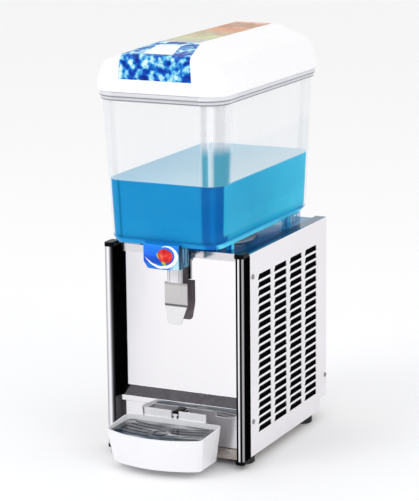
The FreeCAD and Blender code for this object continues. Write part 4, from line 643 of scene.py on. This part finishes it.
def coat_nodes():
    for name, nodes in NODE_FINISH.items():
        for node in nodes:
            coat(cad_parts[node], FINISHES[name])
    # the colours of the posts' painted reflection stripes, across each post from left to right
    black, bright, soft = (4, 4, 5), (238, 236, 240), (168, 165, 169)
    dim = (40, 39, 41)
    reflection_stripes = {
        "front_post_right": [
            (0.0, black), (0.47, black), (0.52, bright), (0.61, bright), (0.69, black),
            (0.82, black), (0.88, soft), (0.95, soft), (1.0, dim)],
        "front_post_left": [
            (0.0, (150, 148, 150)), (0.15, (172, 170, 173)), (0.28, (204, 202, 206)),
            (0.36, bright), (0.48, bright), (0.56, (182, 180, 184)), (0.65, (96, 94, 97)),
            (0.74, dim), (0.83, black)]}
    for name, stops in reflection_stripes.items():
        coat(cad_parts[name], post_steel(name, stops))


# ---------------------------------------------------------------- meshes: helpers

def surface_of(thing):
    """An object's mesh as something rays can be cast at."""
    mesh = thing.data
    return BVHTree.FromPolygons([v.co.copy() for v in mesh.vertices],
                                [tuple(p.vertices) for p in mesh.polygons])


def mesh_object(name, build, material, smooth_angle=40):
    """An object from a function that fills a bmesh."""
    form = bmesh.new()
    build(form)
    bmesh.ops.recalc_face_normals(form, faces=form.faces)
    mesh = bpy.data.meshes.new(name)
    form.to_mesh(mesh)
    form.free()
    mesh.shade_smooth()
    mesh.set_sharp_from_angle(angle=radians(smooth_angle))
    thing = bpy.data.objects.new(name, mesh)
    bpy.context.scene.collection.objects.link(thing)
    mesh.materials.append(material)
    return thing


def bridge(form, rings, closed=True):
    """Quads between successive rings of vertices."""
    for lower, upper in zip(rings, rings[1:]):
        count = len(lower)
        for index in range(count if closed else count - 1):
            after = (index + 1) % count
            form.faces.new((lower[index], lower[after], upper[after], upper[index]))


def slab(name, front, back, material):
    """A thin closed piece between two grids of points, row by row."""
    def build(form):
        sheets = [[[form.verts.new(p) for p in row] for row in grid] for grid in (front, back)]
        for sheet in sheets:
            bridge(form, sheet, closed=False)
        top, under = sheets
        for edge in (lambda s: s[0], lambda s: s[-1], lambda s: [r[0] for r in s],
                     lambda s: [r[-1] for r in s]):
            bridge(form, [edge(top), edge(under)], closed=False)
    return mesh_object(name, build, material, smooth_angle=30)


def patch(name, surface, outline, aim, material, lift=0.25 * MM, thick=0.6 * MM,
          steps=(48, 24)):
    """A thin print laid on a surface: outline(s, t) is a point off it, and aim points at it."""
    aim = Vector(aim).normalized()
    front, back = [], []
    for row in range(steps[1] + 1):
        hits = []
        for column in range(steps[0] + 1):
            start = Vector(outline(column / steps[0], row / steps[1]))
            hits.append(surface.ray_cast(start, aim)[0])
        front.append([hit - aim * lift for hit in hits])
        back.append([hit + aim * (thick - lift) for hit in hits])
    return slab(name, front, back, material)


def between(corners):
    """Points over a quad, from its corners at (0, 0), (1, 0), (1, 1) and (0, 1)."""
    low_left, low_right, high_right, high_left = (Vector(c) for c in corners)
    return lambda s, t: (low_left.lerp(low_right, s)).lerp(high_left.lerp(high_right, s), t)


# ---------------------------------------------------------------- bowl, lid and dark shade sheets behind the louvres

def rounded_loop(x, y, radius, height, steps=14):
    """Points round a rectangle with round corners, from x and y pairs, at one height."""
    points = []
    for turn, (side, end) in enumerate(((1, 1), (0, 1), (0, 0), (1, 0))):
        hub = Vector((x[side] + (radius if side == 0 else -radius),
                      y[end] + (radius if end == 0 else -radius), height))
        for step in range(steps + 1):
            angle = (turn + step / steps) * pi / 2
            points.append(hub + Vector((cos(angle), sin(angle), 0)) * radius)
    return points


def inset_loop(box, insets, radius, height, wall=0.0):
    """A rounded loop inside a box: its insets from the sides, the front and the rear, in mm."""
    side, front, rear = ((inset + wall) * MM for inset in insets)
    return rounded_loop((box[0].x + side, box[1].x - side), (box[0].y + front, box[1].y - rear),
                        (radius - 0.8 * wall) * MM, height)


def make_bowl():
    """The clear bowl: drafted walls with round corners, a stepped rim, a collar and four feet."""
    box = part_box("bowl")
    low, high = box
    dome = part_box("evaporator_dome")
    centre = Vector((0, (dome[0].y + dome[1].y) / 2, 0))
    floor_z, floor_top, bend_z = low.z + 15 * MM, low.z + 19 * MM, low.z + 26 * MM
    rim_low, rim_mid = high.z - 13 * MM, high.z - 7 * MM
    # insets from the box's sides, front and rear, in mm
    foot, bend, body = (20.5, 26, 32), (14.5, 18, 14), (5, 5, 5)
    step, lip = (2.5, 2.5, 2.5), (0, 0, 0)
    wall, flights = 3, 6
    # the collar round the cooling dome: its radii in mm, and how far it reaches over and under
    collar_out, collar_in, reach = 72, 67.6, 10 * MM

    def ring(radius, height):
        flat = inset_loop(box, foot, 24, 0)
        spots = [(point - centre).normalized() * radius * MM + centre for point in flat]
        return [Vector((spot.x, spot.y, height)) for spot in spots]

    def draught(flight, inset=0.0):
        share = flight / flights
        insets = [a + (b - a) * share for a, b in zip(bend, body)]
        return inset_loop(box, insets, 30 + 6 * share, bend_z + share * (rim_low - bend_z), inset)

    # up the outside, over the rim and down the inside; each loop's corner radius is in mm
    loops = [ring(collar_out, floor_z - reach), ring(collar_out, floor_z),
             inset_loop(box, foot, 24, floor_z)]
    loops += [draught(flight) for flight in range(flights + 1)]
    loops += [inset_loop(box, step, 38.5, rim_low), inset_loop(box, step, 38.5, rim_mid),
              inset_loop(box, lip, 41, rim_mid), inset_loop(box, lip, 41, high.z),
              inset_loop(box, body, 36, high.z, wall)]
    loops += [draught(flight, wall) for flight in range(flights, 0, -1)]
    loops += [inset_loop(box, foot, 24, floor_top, 2), ring(collar_out, floor_top),
              ring(collar_out, floor_z + reach), ring(collar_in, floor_z + reach),
              ring(collar_in, floor_z - reach)]

    def build(form):
        rings = [[form.verts.new(point) for point in loop] for loop in loops]
        bridge(form, rings + [rings[0]])
        for y in (-74 * MM, 152 * MM):
            for x in (-78 * MM, 78 * MM):
                middle = Matrix.Translation((x, y, (low.z + floor_z) / 2))
                bmesh.ops.create_cone(form, cap_ends=True, segments=32, radius1=6.4 * MM,
                                      radius2=7 * MM, depth=floor_z - low.z, matrix=middle)

    bowl = mesh_object("bowl_shell", build, FINISHES["clear_bowl"], smooth_angle=34)
    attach(bowl, "bowl")
    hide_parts("bowl")


# the lid at eight levels, in mm: height over its foot, side, front and rear insets, corner radius
LID_LEVELS = [(0, 0.8, 0.8, 0.8, 37), (1.6, 0, 0, 0, 38), (15.4, 0, 0, 0, 38), (35.4, 9, 1, 1, 31),
              (47.4, 20, 1.6, 1.6, 24), (54.4, 42, 2.4, 2.4, 14), (60.4, 57, 5, 4.5, 9),
              (71.4, 81, 93.5, 20.5, 6)]
LID_WALL = 2.4


def lid_loops(wall=0.0, smooth=5):
    """Loops up the lid, rounded off between its levels."""
    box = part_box("lid")
    last = len(LID_LEVELS) - 1
    straight, eased = 0.6, 0.4
    loops = []
    for index in range(last):
        before, here, after = (LID_LEVELS[max(index + way, 0)] for way in (-1, 0, 1))
        for step in range(smooth + (index + 1 == last)):
            t = step / smooth
            rise, side, front, rear, radius = (
                b + 0.5 * t * (c - a) * (1 - t) ** 2 * straight
                + (c - b) * t * t * (3 - 2 * t) * eased + (c - b) * t * straight
                for a, b, c in zip(before, here, after))
            height = box[0].z + (rise - wall) * MM
            loops.append(inset_loop(box, (side, front, rear), radius, height, wall))
    return loops


def make_lid():
    """The lid's shell: a pillow of soft slopes up to a narrow flat ridge."""
    outer = lid_loops()
    inner = lid_loops(LID_WALL)
    inner[0] = [Vector((p.x, p.y, outer[0][0].z)) for p in inner[0]]

    def build(form):
        shells = [[[form.verts.new(p) for p in loop] for loop in loops] for loops in (outer, inner)]
        for rings in shells:
            bridge(form, rings)
            form.faces.new(rings[-1])
        bridge(form, [shells[0][0], shells[1][0]])

    lid = mesh_object("lid_shell", build, FINISHES["lid_white"], smooth_angle=50)
    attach(lid, "lid")
    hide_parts("lid")
    return lid


def make_louvre_shade_sheets():
    """A pleated dark sheet behind the louvres of each side panel, painted shade for the cabinet's
    inside.
    """
    low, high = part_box("side_panel_right")
    # painted shade: a near-black sheet where the inside of the cabinet is in shade
    shade_sheet = rubbery("louvre_shade_sheet", tone(7, 6, 8), Specular_IOR_Level=0.02)
    front, rear = low.y + 22 * MM, low.y + 288 * MM
    pleats, pleat_deep, behind, thick = 88, 1.4 * MM, 3.4 * MM, 0.8 * MM

    def sheet(side, depth):
        return [[Vector((side * (high.x - depth - pleat_deep * (column % 2)),
                         front + (rear - front) * column / pleats, height))
                 for column in range(pleats + 1)]
                for height in (low.z + 26 * MM, low.z + 304 * MM)]

    for side, name in ((-1, "louvre_shade_left"), (1, "louvre_shade_right")):
        piece = slab(name, sheet(side, behind), sheet(side, behind + thick), shade_sheet)
        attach(piece, "cabinet")


# ---------------------------------------------------------------- the drink

def make_drink():
    """The drink in the bowl, round the cooling dome, kept clear of it as the bowl is lifted off."""
    surface = surface_of(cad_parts["bowl"])
    low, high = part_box("bowl")
    dome_low, dome_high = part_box("evaporator_dome")
    centre = Vector(((dome_low.x + dome_high.x) / 2, (dome_low.y + dome_high.y) / 2, 0))
    middle_y, floor_z = (low.y + high.y) / 2, low.z + 19.4 * MM
    gap, inside, around = 0.4 * MM, 80, 240
    # the room left for the dome and the bowl's collar
    void_r, void_z = 72.8 * MM, dome_high.z + 1 * MM

    def wall_ring(form, height):
        ring = []
        for index in range(around):
            angle = 2 * pi * index / around
            aim = Vector((sin(angle) * 0.62, -cos(angle), 0)).normalized()
            start = Vector((0, middle_y, height)) + aim * inside * MM
            hit, normal = surface.ray_cast(start, aim)[:2]
            flat = Vector((normal.x, normal.y, 0)).normalized()
            flat = -flat if flat.dot(aim) > 0 else flat
            ring.append(form.verts.new(hit + flat * gap))
        return ring

    def void_ring(form, height):
        spots = [centre + Vector((sin(2 * pi * i / around), -cos(2 * pi * i / around), 0)) * void_r
                 for i in range(around)]
        return [form.verts.new((p.x, p.y, height)) for p in spots]

    def build(form):
        heights = [floor_z + 0.2 * MM, floor_z + 4 * MM, floor_z + 8 * MM, floor_z + 20 * MM,
                   (floor_z + LEVEL) / 2, LEVEL - 1 * MM, LEVEL]
        outer = [wall_ring(form, height) for height in heights]
        inner = [void_ring(form, height) for height in (heights[0], void_z)]
        bridge(form, outer)
        bridge(form, inner)
        bridge(form, [outer[0], inner[0]])
        form.faces.new(outer[-1])
        form.faces.new(inner[-1])

    drink = mesh_object("drink", build, drink_colours(), smooth_angle=45)
    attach(drink, "bowl")


# ---------------------------------------------------------------- prints and badge

def make_lid_prints(lid):
    """Generic prints: a splash over the lid's front, a pale window in it, and a band of fruit."""
    surface = surface_of(lid)
    low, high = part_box("lid")
    aim, down = Vector((0, 1, -1)).normalized(), (0, 0, -1)
    off, above = aim * -200 * MM, high.z + 60 * MM
    edge_y, slope_y = low.y + 3 * MM, low.y + 92 * MM
    # the splash's half width in mm at three places up the lid's front
    rows = [(64, Vector((0, low.y, low.z + 21.5 * MM))),
            (60.5, Vector((0, edge_y, high.z - 11.5 * MM))),
            (36, Vector((0, slope_y, high.z - 0.5 * MM)))]

    def wrapped(s, t):
        row = min(int(t * 2), 1)
        (half, start), (far_half, end) = rows[row], rows[row + 1]
        share = t * 2 - row
        width = (half + (far_half - half) * share) * MM
        return start.lerp(end, share) + off + Vector((width * (2 * s - 1), 0, 0))

    def quad(lefts, rights, front, rear):
        """A flat quad over the lid: x in mm of its front and rear corners on each side."""
        return between([(lefts[0] * MM, front, above), (rights[0] * MM, front, above),
                        (rights[1] * MM, rear, above), (lefts[1] * MM, rear, above)])

    splash = patch("lid_splash_print", surface, wrapped, aim, splash_print("splash_print", 88),
                   lift=0.5 * MM, steps=(48, 120))
    window = patch("lid_window_print", surface,
                   quad((-26, -24), (27, 14), edge_y + 9 * MM, slope_y - 22 * MM), down,
                   moulded("window_print", tone(238, 243, 246), 0.3, 0.02), lift=0.8 * MM)
    fruit = patch("lid_fruit_print", surface,
                  quad((-33, -33), (33, 33), slope_y + 3 * MM, high.y - 30 * MM), down,
                  fruit_print("fruit_print"))
    for item in (splash, window, fruit):
        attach(item, "lid")


def make_cover_badge():
    """A generic badge on the tap cover: a red berry with a leaf, and a white sweep round it."""
    surface = surface_of(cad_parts["faucet_cover"])
    low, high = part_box("faucet_cover")
    off = low.y - 30 * MM
    middle = Vector(((low.x + high.x) / 2 + 10 * MM, off, low.z + 22.5 * MM))
    berry_r = 11.8 * MM
    white = moulded("badge_white", tone(240, 244, 248), 0.2, 0.02)
    leaf_green = moulded("badge_leaf", tone(176, 196, 40), 0.3, 0.25)

    # the sweep round the berry: turn in degrees, middle radius and width in mm
    course = [(112, 14.6, 0.4), (60, 16.4, 3.2), (0, 18.0, 5.4), (-50, 17.6, 5.4), (-95, 18.0, 4.6),
              (-138, 24.0, 4.2), (-160, 31.5, 3.0), (-172, 38.0, 0.5)]

    def sweep(s, t):
        place = s * (len(course) - 1)
        row = min(int(place), len(course) - 2)
        turn, reach, width = (a + (b - a) * (place - row)
                              for a, b in zip(course[row], course[row + 1]))
        spot, turn = (reach + width * (t - 0.5)) * MM, radians(turn)
        return middle + Vector((spot * cos(turn), 0, spot * sin(turn)))

    crescent = patch("badge_sweep", surface, sweep, (0, 1, 0), white, lift=0.35 * MM, steps=(98, 6))

    def berry_build(form):
        rings, count, layers, crown = [], 48, 10, 2.6 * MM
        for layer in range(layers + 1):
            polar = 0.5 * pi * layer / layers
            radius, proud = berry_r * cos(polar), crown * sin(polar)
            ring = []
            for index in range(count):
                turn = 2 * pi * index / count
                uneven = 1 + 0.05 * cos(2 * turn + 0.8) + 0.03 * sin(5 * turn)
                spot = middle + Vector((cos(turn), 0, sin(turn))) * max(radius, 0.2 * MM) * uneven
                hit = surface.ray_cast(spot, Vector((0, 1, 0)))[0]
                ring.append(form.verts.new(hit + Vector((0, -proud - 0.1 * MM, 0))))
            rings.append(ring)
        base = [form.verts.new(v.co + Vector((0, 0.5 * MM, 0))) for v in rings[0]]
        bridge(form, [base] + rings)
        form.faces.new(rings[-1])
        form.faces.new(base)

    berry = mesh_object("badge_berry", berry_build, berry_skin(), smooth_angle=60)

    def leaf(s, t):
        start, end = Vector((-14.5, 0, 3.0)) * MM, Vector((0.5, 0, -15.5)) * MM
        broad, wavy = 0.15 + sin(pi * s), t - 0.8 + 0.12 * sin(9 * s)
        return middle + start.lerp(end, s) + Vector((-0.75, 0, -0.6)) * broad * wavy * 10 * MM

    leaves = patch("badge_leaf", surface, leaf, (0, 1, 0), leaf_green, lift=0.8 * MM, thick=1 * MM,
                   steps=(28, 6))
    for item in (crescent, berry, leaves):
        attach(item, "bowl")


# ---------------------------------------------------------------- valve spring and knob mark

def make_valve_spring():
    """The valve's spring, which on the tap shortens as the lever pulls the plunger; here a fixed
    coil in place of the CAD's rigid one.
    """
    low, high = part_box("valve_spring")
    wire, turns, sides, steps = 0.6 * MM, 4.25, 12, 170
    radius, height = (high.x - low.x) / 2 - wire, (low.z + high.z) / 2
    start, end = low.y + wire, high.y - wire

    def build(form):
        rings = []
        for step in range(steps + 1):
            share = step / steps
            angle = share * turns * 2 * pi
            out = Vector((cos(angle), 0, sin(angle)))
            hub = out * radius + Vector((0, start + share * (end - start), height))
            rings.append([form.verts.new(hub + (out * cos(side) + Vector((0, sin(side), 0))) * wire)
                          for side in (index * 2 * pi / sides for index in range(sides))])
        bridge(form, rings)
        for ring in (rings[0], rings[-1]):
            form.faces.new(ring)

    spring = mesh_object("valve_spring_coil", build, FINISHES["shaft_steel"])
    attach(spring, "bowl")
    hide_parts("valve_spring")
    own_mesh(spring)


def make_knob_mark():
    """The white line on the thermostat knob's face, which shows how far it is turned."""
    low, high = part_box("thermostat_knob")
    middle, half, proud, sunk = (low + high) / 2, 0.8 * MM, 0.3 * MM, 0.4 * MM

    def grid(depth):
        return [[Vector((x, depth, middle.z + rise * MM))
                 for x in (middle.x - half, middle.x + half)] for rise in (3, 7, 11.5)]

    mark = slab("knob_mark", grid(high.y + proud), grid(high.y - sunk), FINISHES["tap_white"])
    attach(mark, "knob")


# ---------------------------------------------------------------- stage, lights and camera

def emitter(name, place, aim_at, size, power):
    light = bpy.data.lights.new(name, "AREA")
    light.shape, light.size, light.size_y, light.energy = "RECTANGLE", size[0], size[1], power
    thing = bpy.data.objects.new(name, light)
    thing.location = place
    thing.rotation_euler = (Vector(aim_at) - Vector(place)).to_track_quat("-Z", "Y").to_euler()
    bpy.context.scene.collection.objects.link(thing)


def panel(name, place, aim_at, size, material):
    """A flat stage card that faces a point."""
    def build(form):
        form.faces.new([form.verts.new((x * size[0] / 2, y * size[1] / 2, 0))
                        for x, y in ((-1, -1), (1, -1), (1, 1), (-1, 1))])

    card = mesh_object(name, build, material)
    card.location = place
    card.rotation_euler = (Vector(aim_at) - Vector(place)).to_track_quat("Z", "Y").to_euler()
    return card


def make_stage():
    """A white room, a pale floor, two soft lights, and a dark card that only reflections show."""
    world = bpy.data.worlds.new("studio")
    bpy.context.scene.world = world
    world.use_nodes = True
    backdrop = world.node_tree.nodes["Background"].inputs
    backdrop["Color"].default_value = grey(1)
    backdrop["Strength"].default_value = 0.95
    floor_finish = Finish("pale_floor", Roughness=0.85)
    floor_finish.feed(mottled(floor_finish, tone(250, 250, 251), 0.004, 0.8), "Base Color")
    panel("floor", (0, 0, 0), (0, 0, 1), (14, 14), floor_finish.material)
    emitter("key_light", (-1.6, -2.4, 2.6), (0, 0, 0.35), size=(1.8, 1.8), power=26)
    emitter("side_light", (2.6, -1.2, 1.8), (0, 0, 0.3), size=(1.6, 1.6), power=10)
    dark = Finish("dark_card", Roughness=0.9)
    dark.feed(mottled(dark, tone(70, 68, 74), 0.05, 2), "Base Color")
    low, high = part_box("splash_panel")
    sill = Vector((0, low.y, high.z * 0.3))
    flag = panel("sill_flag", sill + Vector((-0.69, -0.955, 1.09)), sill, (0.9, 0.5), dark.material)
    flag.visible_camera = False
    flag.visible_diffuse = False
    flag.visible_shadow = False


def make_camera():
    """The viewpoint: its azimuth and height over the front, and its distance, with no shift."""
    place = (1.4979, -3.0875, 1.109)
    azimuth, rise, roll = radians(25.80), radians(12.82), radians(-0.55)
    back = Vector((sin(azimuth) * cos(rise), -cos(azimuth) * cos(rise), sin(rise)))
    right = Vector((cos(azimuth), sin(azimuth), 0))
    up = back.cross(right)
    turned = (right * cos(roll) + up * sin(roll), up * cos(roll) - right * sin(roll), back)
    data = bpy.data.cameras.new("camera")
    data.sensor_fit, data.sensor_height, data.lens = "VERTICAL", 36, 152.3
    data.clip_start, data.clip_end = 0.05, 60
    camera = bpy.data.objects.new("camera", data)
    camera.matrix_world = Matrix.Translation(place) @ Matrix(turned).transposed().to_4x4()
    bpy.context.scene.collection.objects.link(camera)
    bpy.context.scene.camera = camera


make_camera()
make_stage()
coat_nodes()
make_bowl()
make_drink()
make_lid_prints(make_lid())
make_louvre_shade_sheets()
make_cover_badge()
make_valve_spring()
make_knob_mark()
bpy.context.scene.view_settings.view_transform = "Standard"
